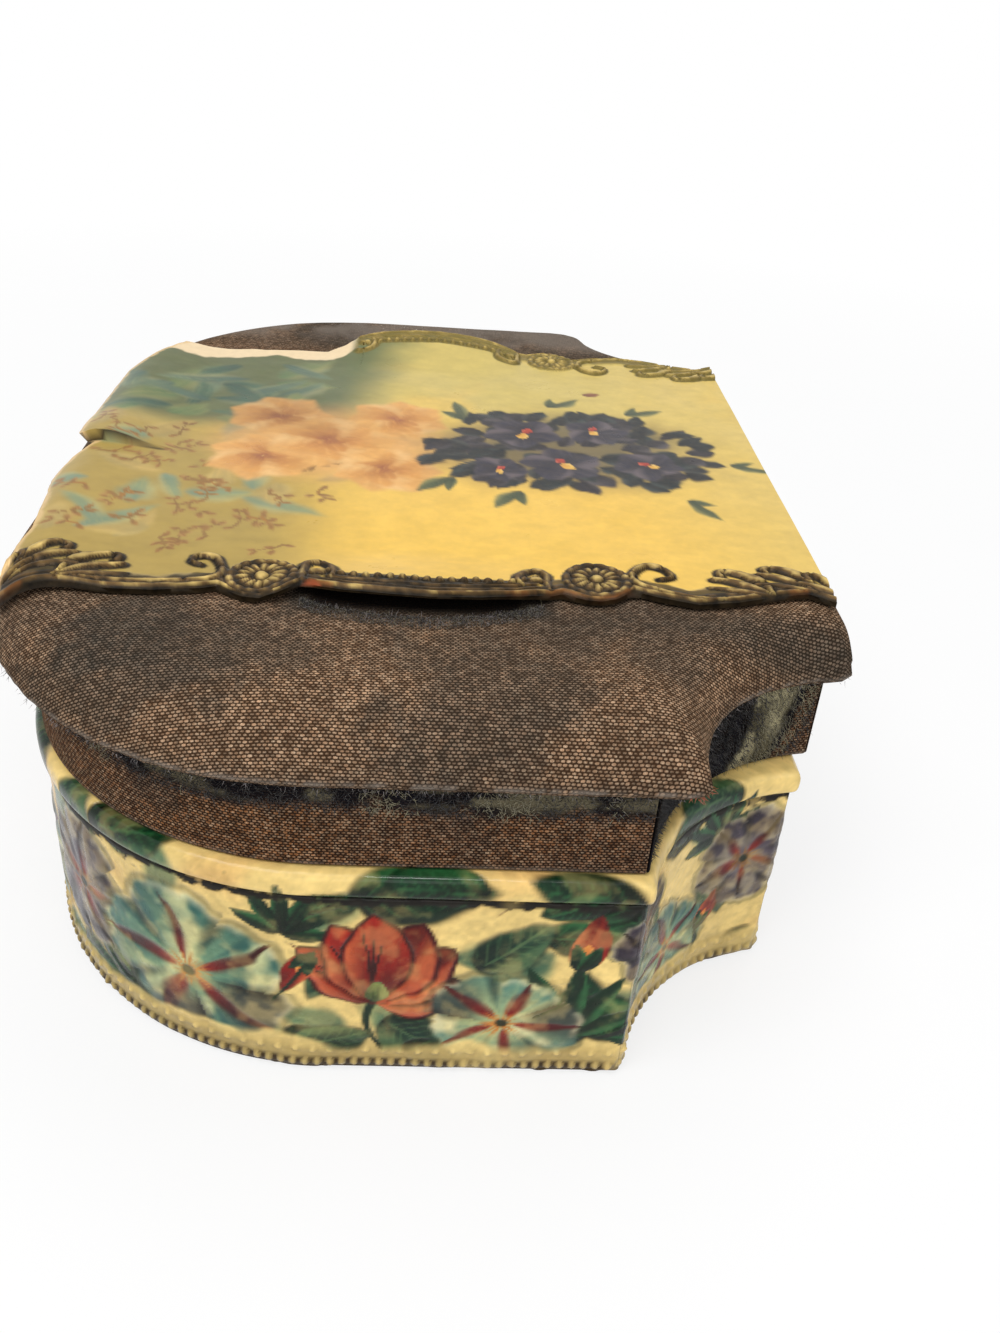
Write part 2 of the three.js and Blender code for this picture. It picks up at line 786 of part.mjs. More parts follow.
// A scroll of leaves that runs from its root by a rosette to the end of the panel.
function scroll(rootY, endY, endHalf) {
  const at = (along, up) => [
    panelHalf.scrollRoot + (endHalf - panelHalf.scrollRoot) * along - scrollWidth * up,
    rootY + (endY - rootY) * along,
  ];
  const shape = new THREE.Shape();
  shape.moveTo(...at(0, 0));
  for (const [cx, cy, x, y] of leafShares) shape.quadraticCurveTo(...at(cx, cy), ...at(x, y));
  shape.lineTo(...at(1, scrollEndShare));
  shape.lineTo(...at(1, 0));
  const [bulgeX, bulgeY] = at(0.5, 0);
  shape.quadraticCurveTo(bulgeX + scrollBulge * 2, bulgeY, ...at(0, 0));
  return shape;
}

// A bow of the border: the stretch between two arcs that bulge outwards, from rosette to rosette.
function bow() {
  const low = frontRosette.y + rosetteRadius / 2;
  const high = backRosette.y - rosetteRadius / 2;
  const outside = (x) => [2 * x - panelHalf.bowEnd, bowMiddle];
  const shape = new THREE.Shape();
  shape.moveTo(panelHalf.bowEnd, low);
  shape.quadraticCurveTo(...outside(panelHalf.bow), panelHalf.bowEnd, high);
  shape.lineTo(panelHalf.bowEnd - bowWidth, high);
  const [bulge, middle] = outside(panelHalf.bow);
  shape.quadraticCurveTo(bulge - bowWidth, middle, panelHalf.bowEnd - bowWidth, low);
  return shape;
}

const turnedOver = (shape) =>
  new THREE.Shape(shape.getPoints(curveSteps).map((p) => new THREE.Vector2(-p.x, p.y)));
const upright = (shape, low, high) => extruded(shape, high - low).translate(0, 0, low);

// The sheet itself: straight beside the scrolls, and bulging with the bows down to under their beads
function sheetShape() {
  const low = frontRosette.y;
  const high = backRosette.y;
  const inner = panelHalf.bowEnd - bowWidth / 2;
  const bulge = inner + 2 * (panelHalf.bow - panelHalf.bowEnd);
  const shape = new THREE.Shape();
  shape.moveTo(-panelHalf.broken, panelFront);
  shape.lineTo(panelHalf.front, panelFront);
  shape.lineTo(inner, low);
  shape.quadraticCurveTo(bulge, bowMiddle, inner, high);
  shape.lineTo(panelHalf.back, panelBack);
  shape.lineTo(-panelHalf.back, panelBack);
  shape.lineTo(-inner, high);
  shape.quadraticCurveTo(-bulge, bowMiddle, -inner, low);
  return shape;
}

// A rosette: a domed disc with a ring of petals round a boss
function rosette(centre) {
  const foot = plushHeight - panelDepth - celluloid / 2;
  const top = plushHeight - panelDepth;
  const crown = top + relief / 3;
  const flat = rosetteRadius - petalRadius;
  const disc = new THREE.CylinderGeometry(flat, rosetteRadius, crown - foot, 2 * petals)
    .rotateX(Math.PI / 2)
    .translate(0, 0, (crown + foot) / 2);
  const bead = (radius, x, y) =>
    new THREE.SphereGeometry(radius, 7, 4)
      .scale(1, 1, relief / petalRadius)
      .translate(x, y, top);
  const ring = [bead(bossRadius, 0, 0)];
  for (let i = 0; i < petals; i++) {
    const angle = (2 * Math.PI * i) / petals;
    ring.push(bead(petalRadius, flat * Math.cos(angle), flat * Math.sin(angle)));
  }
  return joined(disc, ...ring).translate(centre.x, centre.y, 0);
}

// Beads along the middle of a bow, on the sheet
function beads(side) {
  const low = frontRosette.y + rosetteRadius + beadRadius;
  const high = backRosette.y - rosetteRadius - beadRadius;
  const result = [];
  for (let i = 0; i < beadCount; i++) {
    const share = i / (beadCount - 1);
    const bulge = 4 * share * (1 - share);
    const x = panelHalf.bowEnd - bowWidth / 2 + (panelHalf.bow - panelHalf.bowEnd) * bulge;
    const bead = new THREE.SphereGeometry(beadRadius, 6, 4);
    result.push(bead.translate(side * x, low + (high - low) * share, plushHeight - panelDepth + relief / 2));
  }
  return result;
}

function panel() {
  const high = plushHeight + overrun;
  const low = flangeHeight;
  const frontScroll = scroll(frontRosette.y - rosetteRadius / 2, panelFront, panelHalf.front + scrollOver);
  const backScroll = scroll(backRosette.y + rosetteRadius / 2, panelBack, panelHalf.back + scrollOver);
  const raised = [frontScroll, backScroll, turnedOver(backScroll), bow(), turnedOver(bow())];
  const sheet = common(layer(panelDepth, -glue), upright(sheetShape(), low, high));
  const thick = layer(panelDepth - relief / 2, -glue);
  const motifs = raised.map((shape) => common(thick, upright(shape, low, high)));
  const leftRosette = new THREE.Vector2(-backRosette.x, backRosette.y);
  const rosettes = [frontRosette, backRosette, leftRosette].map(rosette);
  return joined(sheet, ...motifs, ...rosettes, ...beads(1), ...beads(-1));
}
place(lid, "celluloid_panel", panel(), finishes.panel);

export default box;
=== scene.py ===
"""Dresses a packed celluloid jewelry box: worn cloth over the lid, a printed panel with an embossed border,
painted and embossed celluloid on the walls, satin inside, brass hinges and catch.

Shapes are worked out in millimetres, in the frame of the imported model, and become metres in the mesh.
"""
import json
import math

import bpy
import numpy as np
from bpy.props import FloatProperty, FloatVectorProperty, PointerProperty
from mathutils import Matrix, Vector


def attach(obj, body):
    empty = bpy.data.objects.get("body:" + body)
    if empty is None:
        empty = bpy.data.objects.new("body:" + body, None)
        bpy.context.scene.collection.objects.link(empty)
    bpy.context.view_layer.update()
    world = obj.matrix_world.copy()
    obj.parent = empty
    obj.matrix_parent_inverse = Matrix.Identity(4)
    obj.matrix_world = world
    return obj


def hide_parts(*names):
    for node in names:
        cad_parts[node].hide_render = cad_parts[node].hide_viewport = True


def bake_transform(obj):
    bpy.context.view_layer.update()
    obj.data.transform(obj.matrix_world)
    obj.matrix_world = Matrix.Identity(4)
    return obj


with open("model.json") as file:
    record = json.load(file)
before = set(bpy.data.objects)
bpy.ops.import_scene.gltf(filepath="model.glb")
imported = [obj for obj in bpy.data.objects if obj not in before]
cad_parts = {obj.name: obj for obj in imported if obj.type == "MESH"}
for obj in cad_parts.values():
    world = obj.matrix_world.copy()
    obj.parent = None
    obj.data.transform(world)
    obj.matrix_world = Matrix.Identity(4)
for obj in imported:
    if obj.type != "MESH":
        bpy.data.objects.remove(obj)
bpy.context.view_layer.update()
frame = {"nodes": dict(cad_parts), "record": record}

bl_info = {
    "name": "Celluloid jewelry box",
    "version": (1, 0, 0),
    "blender": (4, 5, 0),
    "location": "3D View > Sidebar > Jewelry Box",
    "description": "Cloth, printed panel, painted walls, satin and brass for a packed jewelry box",
    "category": "Object",
}

MM = 0.001
NODES = frame["nodes"]


# ---- Colour and chance

def linear(text):
    """A web colour as the linear red, green and blue that shaders take."""
    c = np.array([int(text[i : i + 2], 16) for i in (0, 2, 4)]) / 255
    return tuple(np.where(c <= 0.04045, c / 12.92, ((c + 0.055) / 1.055) ** 2.4))


def step(low, high, value):
    """0 below low and 1 above high, with a smooth turn between them."""
    t = np.clip((value - low) / (high - low), 0, 1)
    return t * t * (3 - 2 * t)


def grain(x, y, seed=0):
    """Value noise: a random number at each whole place, blended smoothly between places, from 0 to 1."""
    i, j = np.floor(x).astype(np.int64), np.floor(y).astype(np.int64)
    u, v = x - i, y - j
    u, v = u * u * (3 - 2 * u), v * v * (3 - 2 * v)

    def chance(a, b):
        n = (a * 374761393 + b * 668265263 + seed * 974634777) & 0xFFFFFFFF
        n = ((n ^ (n >> 13)) * 1274126177) & 0xFFFFFFFF
        return ((n ^ (n >> 16)) & 0xFFFF) / 65535

    low = chance(i, j) * (1 - u) + chance(i + 1, j) * u
    high = chance(i, j + 1) * (1 - u) + chance(i + 1, j + 1) * u
    return low * (1 - v) + high * v


def cloudy(x, y, size, seed=0, octaves=4):
    """Value noise at a size, and at halves of it with half the strength each, from 0 to 1."""
    total, weight, share = 0, 0, 1.0
    for k in range(octaves):
        total = total + share * grain(x / size * 2**k, y / size * 2**k, seed + 17 * k)
        weight += share
        share /= 2
    return total / weight


def stir(x, y, size, seed=0, octaves=4):
    """Value noise about zero, from -0.5 to 0.5."""
    return cloudy(x, y, size, seed, octaves) - 0.5


def tones(*names):
    """Web colours as arrays."""
    return [np.array(linear(name)) for name in names]


def towards(rgb, colour, share):
    """Colours moved towards another one, by a share at each point."""
    return rgb + (np.asarray(colour) - rgb) * share[..., None]


def dome(*parts):
    """Height of a round top at places given as parts of its half sizes: 1 in its middle, 0 outside."""
    rest = 1
    for part in parts:
        rest = rest - part**2
    return np.sqrt(np.clip(rest, 0, 1))


# ---- Plans of the box, as part of its design: half width, front, back, front radius,
# (cove length, width, depth), corner rounding

BASE = (73.6, -51.0, 50.2, 41.0, (22.3, 22.2, 5.1), 0.7)
SKIRT = (72.9, -51.0, 52.4, 41.0, (24.7, 24.8, 5.7), 0.7)
FLANGE = (74.8, -55.9, 55.9, 43.9, (22.4, 24.9, 8.0), 3.2)
TOP = (63.1, -46.5, 51.3, 34.5, (27.6, 17.1, 4.0), 3.2)
SPANS = ("front", "arc", "side", "corner", "cove", "tip", "back")
SPAN_LENGTHS = np.array([32.6, 64.4, 38.2, 1.6, 32.0, 1.6, 51.0])

# ---- Heights and places that several pieces share

WALL_LOW, WALL_TOP = 0.3, 29.2
RIM_FOOT, RIM_TOP = 29.6, 33.0
SKIRT_LOW, SKIRT_TOP = 33.3, 45.6
PLUSH_TOP, FLANGE_EDGE = 54.0, 46.2
ROLL = math.radians(75)
# where the lid's front radius turns about, how far that moves out and the radius grows on the way down
TURN_SIDE, TURN_FRONT, TURN_SHIFT, TURN_RADIUS, RADIUS_GROWTH = 28.6, -12, 2.3, 34.5, 9.4
HINGE_PLACE = 28.01
COVE_START, COVE_RUN = 135, 33
SATIN_SCALE = 0.2


def half_outline(plan, inset, counts):
    """Right half of a plan, moved inwards, from the middle of the front to the middle of the back: a
    straight front, a quarter circle, a straight side, a small round, a hollow cove on a circle through
    its two ends, a small round and a straight back. counts has the number of steps on each."""
    half, front, back, radius, (length, width, depth), round_off = plan
    side, low, high = half - inset, front + inset, back - inset
    turn = np.array([half - radius, front + radius])
    ends = np.array([[half, back - length], [half - width, back]])
    chord = np.hypot(*(ends[1] - ends[0]))
    bend = chord**2 / (8 * depth) + depth / 2
    out = np.array([length, width]) / math.hypot(length, width)
    centre = ends.mean(0) + out * (bend - depth)
    hollow = bend + inset
    a = np.array([side, centre[1] - math.sqrt(hollow**2 - (centre[0] - side) ** 2)])
    b = np.array([centre[0] - math.sqrt(hollow**2 - (centre[1] - high) ** 2), high])
    angle = [math.atan2(*(p - centre)[::-1]) % (2 * math.pi) for p in (a, b)]
    trim = round_off / np.hypot(*(b - a))

    def on_cove(share):
        t = angle[0] + (angle[1] - angle[0]) * np.asarray(share)
        return centre + hollow * np.stack([np.cos(t), np.sin(t)], -1)

    def straight(p, q, n):
        return p + (q - p) * (np.arange(n) / n)[:, None]

    def small_round(before, at, after, n):
        p = at + (before - at) / np.hypot(*(before - at)) * round_off
        q = at + (after - at) / np.hypot(*(after - at)) * round_off
        t = (np.arange(n) / n)[:, None]
        return p, q, (1 - t) ** 2 * p + 2 * t * (1 - t) * at + t**2 * q

    arc = (np.arange(counts[1]) / counts[1] - 1) * math.pi / 2
    side_foot = np.array([side, turn[1]])
    p1, _, corner = small_round(side_foot, a, on_cove(trim), counts[3])
    _, q2, tip = small_round(on_cove(1 - trim), b, np.array([0, high]), counts[5])
    return np.concatenate([
        straight(np.array([0, low]), np.array([turn[0], low]), counts[0]),
        turn + (radius - inset) * np.stack([np.cos(arc), np.sin(arc)], -1),
        straight(side_foot, p1, counts[2]),
        corner,
        on_cove(trim + (1 - 2 * trim) * np.arange(counts[4]) / counts[4]),
        tip,
        straight(q2, np.array([0, high]), counts[6]),
        [[0, high]],
    ])


def outline(plan, inset, counts):
    """The whole plan, anticlockwise from the middle of the back round by the left, front and right."""
    right = half_outline(plan, inset, counts)
    left = right[::-1] * [-1, 1]
    return np.concatenate([left, right[1:-1]])


def counts_for(spacing):
    """Steps on each span of a plan that are about as long as the spacing."""
    return np.maximum(2, np.round(SPAN_LENGTHS / spacing)).astype(int)


def along(points):
    """Length run along a line of points."""
    return np.concatenate([[0], np.cumsum(np.hypot(*np.diff(points, axis=0).T))])


def outwards(points, closed=True):
    """Unit normals of an anticlockwise line of points, pointing out."""
    if closed:
        t = np.roll(points, -1, 0) - np.roll(points, 1, 0)
    else:
        t = np.gradient(points, axis=0)
    n = np.stack([t[:, 1], -t[:, 0]], -1)
    return n / np.maximum(np.hypot(*n.T), 1e-9)[:, None]


def at_height(ring, z):
    """A ring of a plan at a height."""
    return np.column_stack([ring, np.full(len(ring), z)])


def lid_height(x, y):
    """Height of the lid's cloth over a place of its flat top or front roll. The top runs flat to a
    rounded rectangle; past it the height falls as the roll turns, by how far out the place lies."""
    out = np.zeros_like(x)
    for _ in range(6):
        across = np.maximum(np.abs(x) - TURN_SIDE - TURN_SHIFT * out, 0)
        away = np.hypot(across, np.minimum(y - TURN_FRONT, 0))
        out = np.clip((away - TURN_RADIUS) / RADIUS_GROWTH, 0, 1)
    turn = np.arcsin(out * math.sin(ROLL))
    return PLUSH_TOP - (1 - np.cos(turn)) / (1 - math.cos(ROLL)) * (PLUSH_TOP - FLANGE_EDGE)


def stretches(plan, spacing, trim):
    """The four stretches of a wall round a plan, cut in the middle of its small rounds and a little
    short at their ends: name, x, y and normal of each point, the length run to it from the middle of the
    front, negative on the left, and the run at the two cuts and at the middle of the back."""
    counts = counts_for(spacing)
    right = half_outline(plan, 0, counts)
    run = along(right)
    ring = np.concatenate([right[::-1] * [-1, 1], right[1:]])
    run = np.concatenate([-run[::-1], run[1:]])
    normal = outwards(ring, closed=False)
    normal[0] = normal[-1] = (0, 1)
    edges, middle = np.concatenate([[0], np.cumsum(counts)]), len(right) - 1
    corner, tip = (int((edges[k] + edges[k + 1]) // 2) for k in map(SPANS.index, ("corner", "tip")))
    every = np.arange(len(ring))
    for name, index in (
        ("front", every[middle - corner : middle + corner + 1]),
        ("right_cove", every[middle + corner : middle + tip + 1]),
        ("left_cove", every[middle - tip : middle - corner + 1]),
        ("back", np.concatenate([every[middle + tip :], every[1 : middle - tip + 1]])),
    ):
        far = run[index]
        if name == "back":
            far = np.where(np.arange(len(index)) > middle - tip, far + 2 * run[-1], far)
        inside = np.clip(far, far[0] + trim, far[-1] - trim)
        x, y = (np.interp(inside, far, ring[index, k]) for k in (0, 1))
        yield name, x, y, normal[index], inside, (far[0], far[-1], run[-1])


# ---- Meshes

def solid(name, points, faces, paint=None, sharp=None):
    """An object from points in millimetres and faces, with numbers or colours for its points by name.
    It is smooth but for edges sharper than an angle."""
    mesh = bpy.data.meshes.new(name)
    mesh.from_pydata(np.reshape(points, (-1, 3)) * MM, [], faces)
    mesh.polygons.foreach_set("use_smooth", np.ones(len(mesh.polygons), bool))
    for key, values in (paint or {}).items():
        values = np.asarray(values, np.float32)
        if values.size == 3 * len(mesh.vertices):
            full = np.ones((len(mesh.vertices), 4), np.float32)
            full[:, :3] = values.reshape(-1, 3)
            mesh.attributes.new(key, "FLOAT_COLOR", "POINT").data.foreach_set("color", full.ravel())
        else:
            mesh.attributes.new(key, "FLOAT", "POINT").data.foreach_set("value", values.ravel())
    mesh.update()
    if sharp:
        mesh.set_sharp_from_angle(angle=math.radians(sharp))
    made = bpy.data.objects.new(name, mesh)
    bpy.context.scene.collection.objects.link(made)
    return made


def piece(name, points, wrap=(False, False), ends=False, uv=None, paint=None, sharp=45):
    """An object from a grid of points, rows by columns, in millimetres. wrap closes the rows and the
    columns round; ends closes the open side of a wrapped grid with flat faces. uv may have one row
    or column more than the grid, for its seam."""
    points = np.asarray(points, float)
    rows, columns = points.shape[:2]
    r, c = np.meshgrid(
        np.arange(rows - (not wrap[0])), np.arange(columns - (not wrap[1])), indexing="ij"
    )
    corners = [(r, c), (r, c + 1), (r + 1, c + 1), (r + 1, c)]
    quads = np.stack([i % rows * columns + j % columns for i, j in corners], -1).reshape(-1, 4)
    faces = [quads]
    if ends and wrap[0]:
        first = np.arange(rows) * columns
        faces += [first[None, :], (first + columns - 1)[None, ::-1]]
    if ends and wrap[1]:
        first = np.arange(columns)
        faces += [first[None, ::-1], (first + (rows - 1) * columns)[None, :]]
    a, b, c3, d = (points.reshape(-1, 3)[quads[:, k]] for k in range(4))
    volume = (a * np.cross(b, c3)).sum() + (a * np.cross(c3, d)).sum()
    turned = (ends or all(wrap)) and volume < 0
    if turned:
        faces = [f[:, ::-1] for f in faces]
    made = solid(name, points, [f for block in faces for f in block.tolist()], paint, sharp)
    if uv is not None:
        tall, wide = uv.shape[:2]
        loops = np.stack([uv[i % tall, j % wide] for i, j in corners], -2).reshape(-1, 4, 2)
        if turned:
            loops = loops[:, ::-1]
        rest = len(made.data.loops) - loops.shape[0] * 4
        flat = np.concatenate([loops.reshape(-1, 2), np.zeros((rest, 2))]).astype(np.float32)
        made.data.uv_layers.new(name="surface").data.foreach_set("uv", flat.ravel())
    return made


def hairs(name, root, way, length, thick, colour, seed, bend=0.5, steps=4):
    """Many fine closed threads in one piece. Each starts at its root and runs its way, bends aside at
    random by the square of how far it has run, thins out to its tip, and is three-sided."""
    chance = np.random.default_rng(seed)
    way = way / np.linalg.norm(way, axis=1)[:, None]
    side = np.cross(way, chance.normal(size=way.shape))
    side /= np.linalg.norm(side, axis=1)[:, None]
    other = np.cross(way, side)
    t = np.linspace(0, 1, steps + 1)[None, :, None]
    curl = (2 * chance.random((len(root), 1, 1)) - 1) * bend
    reach = way[:, None] * t + side[:, None] * curl * t**2
    path = root[:, None] + reach * np.reshape(length, (-1, 1, 1))
    angle = np.arange(3) * 2 * math.pi / 3
    ring = np.cos(angle)[:, None] * side[:, None, None] + np.sin(angle)[:, None] * other[:, None, None]
    points = path[:, :, None] + ring * (thick * (1 - 0.8 * t))[..., None]
    first = np.arange(len(root))[:, None, None] * 3 * (steps + 1)
    i = np.arange(steps)[:, None] * 3
    j, k = np.arange(3), (np.arange(3) + 1) % 3
    quads = (first[..., None] + np.stack([i + j, i + k, i + 3 + k, i + 3 + j], -1)[None]).reshape(-1, 4)
    caps = np.concatenate([first[:, 0] + [2, 1, 0], first[:, 0] + steps * 3 + [0, 1, 2]])
    paint = np.repeat(colour, 3 * (steps + 1), axis=0)
    return solid(name, points, quads.tolist() + caps.tolist(), {"paint": paint})


def dress(made, body, slot, material, *nodes):
    """A piece rides on a body, takes a material, and stands for CAD nodes. Its slot is not used."""
    made.data.materials.append(material)
    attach(made, body)
    if nodes:
        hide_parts(*nodes)
    return made


# ---- Materials

class Shading:
    """Nodes of a material, or of the world. Inputs are given by name, as numbers, colours or other nodes'
    outputs."""

    def __init__(self, name, owner=None):
        self.material = bpy.data.materials.new(name) if owner is None else owner
        self.material.use_nodes = True
        self.tree = self.material.node_tree
        self.tree.nodes.clear()

    def add(self, kind, inputs=None, **settings):
        node = self.tree.nodes.new("ShaderNode" + kind)
        for key, value in settings.items():
            setattr(node, key, value)
        for key, value in (inputs or {}).items():
            socket = node.inputs[key]
            if isinstance(value, bpy.types.NodeSocket):
                self.tree.links.new(value, socket)
            elif isinstance(value, (tuple, list)) and len(value) == 3 and socket.type == "RGBA":
                socket.default_value = (*value, 1)
            else:
                socket.default_value = value
        return node

    def math(self, operation, a, b=0.0, clamp=False):
        return self.add("Math", {0: a, 1: b}, operation=operation, use_clamp=clamp).outputs[0]

    def total(self, a, b, clamp=False):
        return self.math("ADD", a, b, clamp)

    def times(self, a, b):
        return self.math("MULTIPLY", a, b)

    def mix(self, share, a, b):
        return self.add("Mix", {0: share, 6: a, 7: b}, data_type="RGBA").outputs[2]

    def ramp(self, value, low, high, to=(0.0, 1.0)):
        return self.add("MapRange", {0: value, 1: low, 2: high, 3: to[0], 4: to[1]}).outputs[0]

    def place(self, stretch=(1, 1, 1), source="Object"):
        spot = self.add("TexCoord").outputs[source]
        return self.add("Mapping", {"Vector": spot, "Scale": stretch}).outputs[0]

    def noise(self, scale, detail=4.0, vector=None):
        inputs = {"Scale": scale, "Detail": detail, "Roughness": 0.55}
        inputs["Vector"] = self.place() if vector is None else vector
        return self.add("TexNoise", inputs).outputs["Fac"]

    def mottle(self, a, b, share, scale, detail, low, high):
        """One colour with patches of another, in a share at the most."""
        return self.mix(self.ramp(self.noise(scale, detail), low, high, (0.0, share)), a, b)

    def attribute(self, name, output="Color"):
        return self.add("Attribute", attribute_name=name).outputs[output]

    def bump(self, height, distance, strength=1.0, normal=None):
        inputs = {"Height": height, "Distance": distance, "Strength": strength}
        if normal is not None:
            inputs["Normal"] = normal
        return self.add("Bump", inputs).outputs[0]

    def threads(self, spot, dash, row):
        """Offset rows of short threads over a surface laid out in millimetres: 1 on a thread and 0 in
        the gaps between threads, and a chance for each thread."""
        part = self.add("SeparateXYZ", {0: spot}).outputs
        tall = self.math("DIVIDE", part["Y"], row)
        line = self.math("FLOOR", tall)
        odd = self.times(self.math("FLOORED_MODULO", line, 2.0), 0.5)
        wide = self.total(self.math("DIVIDE", part["X"], dash), odd)
        far = []
        for value, power, share in ((wide, 3.0, 8.0), (tall, 2.0, 4.0)):
            away = self.math("ABSOLUTE", self.math("SUBTRACT", self.math("FRACT", value), 0.5))
            far.append(self.times(self.math("POWER", away, power), share))
        cell = self.add("CombineXYZ", {0: self.math("FLOOR", wide), 1: line}).outputs[0]
        chance = self.add("TexWhiteNoise", {"Vector": cell}).outputs["Value"]
        edge = self.total(self.total(*far), self.times(self.math("SUBTRACT", chance, 0.5), 0.5))
        shown = self.add("MapRange", {0: edge, 1: 0.95, 2: 0.12}, interpolation_type="SMOOTHSTEP")
        return shown.outputs[0], chance

    def seen(self):
        """1 where the camera, a glossy ray or a transmitted one looks."""
        path = self.add("LightPath").outputs
        shown = self.total(path["Is Camera Ray"], path["Is Glossy Ray"])
        return self.total(shown, path["Is Transmission Ray"], clamp=True)

    def end(self, shader, kind="Material"):
        self.add("Output" + kind, {"Surface": shader})
        return self.material

    def done(self, **inputs):
        """Ends in a principled shader. A name of an input has _ for its spaces."""
        inputs = {key.replace("_", " "): value for key, value in inputs.items()}
        return self.end(self.add("BsdfPrincipled", inputs).outputs[0])


def celluloid_finish(name, roughness=0.26):
    """Glossy celluloid that shows its paint, pressed in where that is dark, with slight ripples and dull
    rubbed spots."""
    s = Shading(name)
    fine = s.noise(900, 3)
    colour = s.mix(s.ramp(fine, 0.3, 0.75, (0.0, 0.03)), s.attribute("paint"), (0.30, 0.22, 0.12))
    dull = s.ramp(s.noise(140, 5), 0.35, 0.8, (roughness - 0.06, roughness + 0.16))
    dull = s.total(dull, s.times(s.attribute("wash", "Fac"), 0.3))
    ripple = s.bump(s.noise(220, 3), 0.00012, 0.5)
    pressed = s.bump(s.attribute("paint", "Fac"), 0.0006, 0.9, ripple)
    return s.done(Base_Color=colour, Roughness=dull, Normal=s.bump(fine, 0.00003, 0.35, pressed),
                  Specular_IOR_Level=0.14, Coat_Weight=0.14, Coat_Roughness=0.05)


def weave_finish(name, sizes, light, dark, soil_and_shade):
    """Worn plush down to its ground weave: offset rows of short light threads over a dark ground, each
    a little different, mottled by soil and by painted shade, bleached where the cloth is frayed and paler
    where a sheen is painted, and of its painted colour where pile is left and where a shade is painted."""
    s = Shading(name)
    uv = s.place(source="UV")
    spot = s.add("TexNoise", {"Vector": uv, "Scale": 0.35, "Detail": 2.0}).outputs["Color"]
    for operation, inputs in (
        ("SUBTRACT", {1: (0.5, 0.5, 0.5)}), ("SCALE", {"Scale": 0.3}), ("ADD", {1: uv}),
    ):
        spot = s.add("VectorMath", {0: spot, **inputs}, operation=operation).outputs[0]
    thread, chance = s.threads(spot, sizes.thread_dash, sizes.thread_row)
    # soil patches and painted shade, with some noise
    dirt_and_shade = s.total(s.attribute("soil_and_shade", "Fac"), s.ramp(s.noise(700, 4), 0.3, 0.7, (-0.12, 0.12)))
    hue = s.mottle(light, linear("7D6450"), 0.62, 42, 4, 0.42, 0.66)
    tone = s.mix(s.ramp(chance, 0.0, 1.0, (0.0, 0.54)), hue, dark)
    tone = s.mottle(tone, dark, 0.32, 190, 5, 0.36, 0.68)
    tone = s.mottle(tone, linear("CDB89C"), 0.5, 2600, 2, 0.42, 0.72)
    shown = s.times(thread, s.ramp(s.noise(900, 3), 0.3, 0.6, (0.45, 1.0)))
    soiled_and_shaded = s.mix(s.times(shown, 0.6), soil_and_shade, linear("605C56"))
    colour = s.mix(s.times(s.ramp(dirt_and_shade, 0.0, 1.0), 0.88), s.mix(shown, dark, tone), soiled_and_shaded)
    # paler where the cloth is frayed, and where a sheen is painted on the far side
    colour = s.mix(s.attribute("wear_and_sheen", "Fac"), colour, linear("82786E"))
    # the painted colour shows where pile is left, and where a shade is painted under the lifted bows
    colour = s.mix(s.attribute("pile_and_shade", "Fac"), colour, s.attribute("paint"))
    normal = s.bump(s.total(thread, s.times(s.noise(2600, 2), 0.5)), 0.0002, 0.9)
    normal = s.bump(s.noise(260, 4), 0.0003, 0.3, normal)
    return s.done(Base_Color=colour, Roughness=0.9, Normal=normal, Specular_IOR_Level=0.06,
                  Sheen_Weight=0.1, Sheen_Roughness=0.35, Sheen_Tint=(*linear("A07A54"), 1))


def fibre_finish(name):
    """Loose threads and pile, each with its own colour, paler and darker along its length."""
    s = Shading(name)
    colour = s.mottle(s.attribute("paint"), linear("6A6258"), 0.35, 900, 2, 0.3, 0.7)
    return s.done(Base_Color=colour, Roughness=0.85, Sheen_Weight=0.2, Specular_IOR_Level=0.2)


def satin_finish(name, colour, shade):
    """Satin: fine ribs one way, sheen, and faded patches."""
    s = Shading(name)
    ribs = {"Vector": s.place(source="UV"), "Scale": 6.0, "Distortion": 1.5, "Detail": 2.0}
    ribs = s.add("TexWave", ribs).outputs["Fac"]
    tone = s.mottle(colour, shade, 1.0, 45, 5, 0.35, 0.7)
    tone = s.mix(s.ramp(ribs, 0, 1, (0.0, 0.14)), tone, shade)
    normal = s.bump(s.noise(500, 4), 0.00018, 0.4, s.bump(ribs, 0.00004, 0.4))
    return s.done(Base_Color=tone, Roughness=0.36, Normal=normal, Sheen_Weight=0.5, Sheen_Roughness=0.3,
                  Anisotropic=0.4)


def metal_finish(name, bright, tarnish, roughness):
    """Old metal: bright where rubbed, tarnished in patches, finely scratched."""
    s = Shading(name)
    old = s.ramp(s.noise(420, 6), 0.36, 0.66)
    dull = s.ramp(old, 0, 1, (roughness, roughness + 0.3))
    scratches = s.bump(s.noise(300, 4, s.place((1, 1, 14))), 0.00004, 0.4)
    normal = s.bump(s.noise(1600, 3), 0.00003, 0.3, scratches)
    return s.done(Base_Color=s.mix(old, bright, tarnish), Roughness=dull, Metallic=1.0, Normal=normal)


def board_finish(name, colour, fleck):
    """Pressed board or paper: short fibres, flecks and soft blotches."""
    s = Shading(name)
    fibres = s.noise(1400, 4, s.place((1, 4, 1)))
    tone = s.mix(s.ramp(fibres, 0.4, 0.7), colour, fleck)
    tone = s.mottle(tone, fleck, 0.35, 80, 4, 0.35, 0.7)
    return s.done(Base_Color=tone, Roughness=0.88, Normal=s.bump(fibres, 0.00008, 0.5))


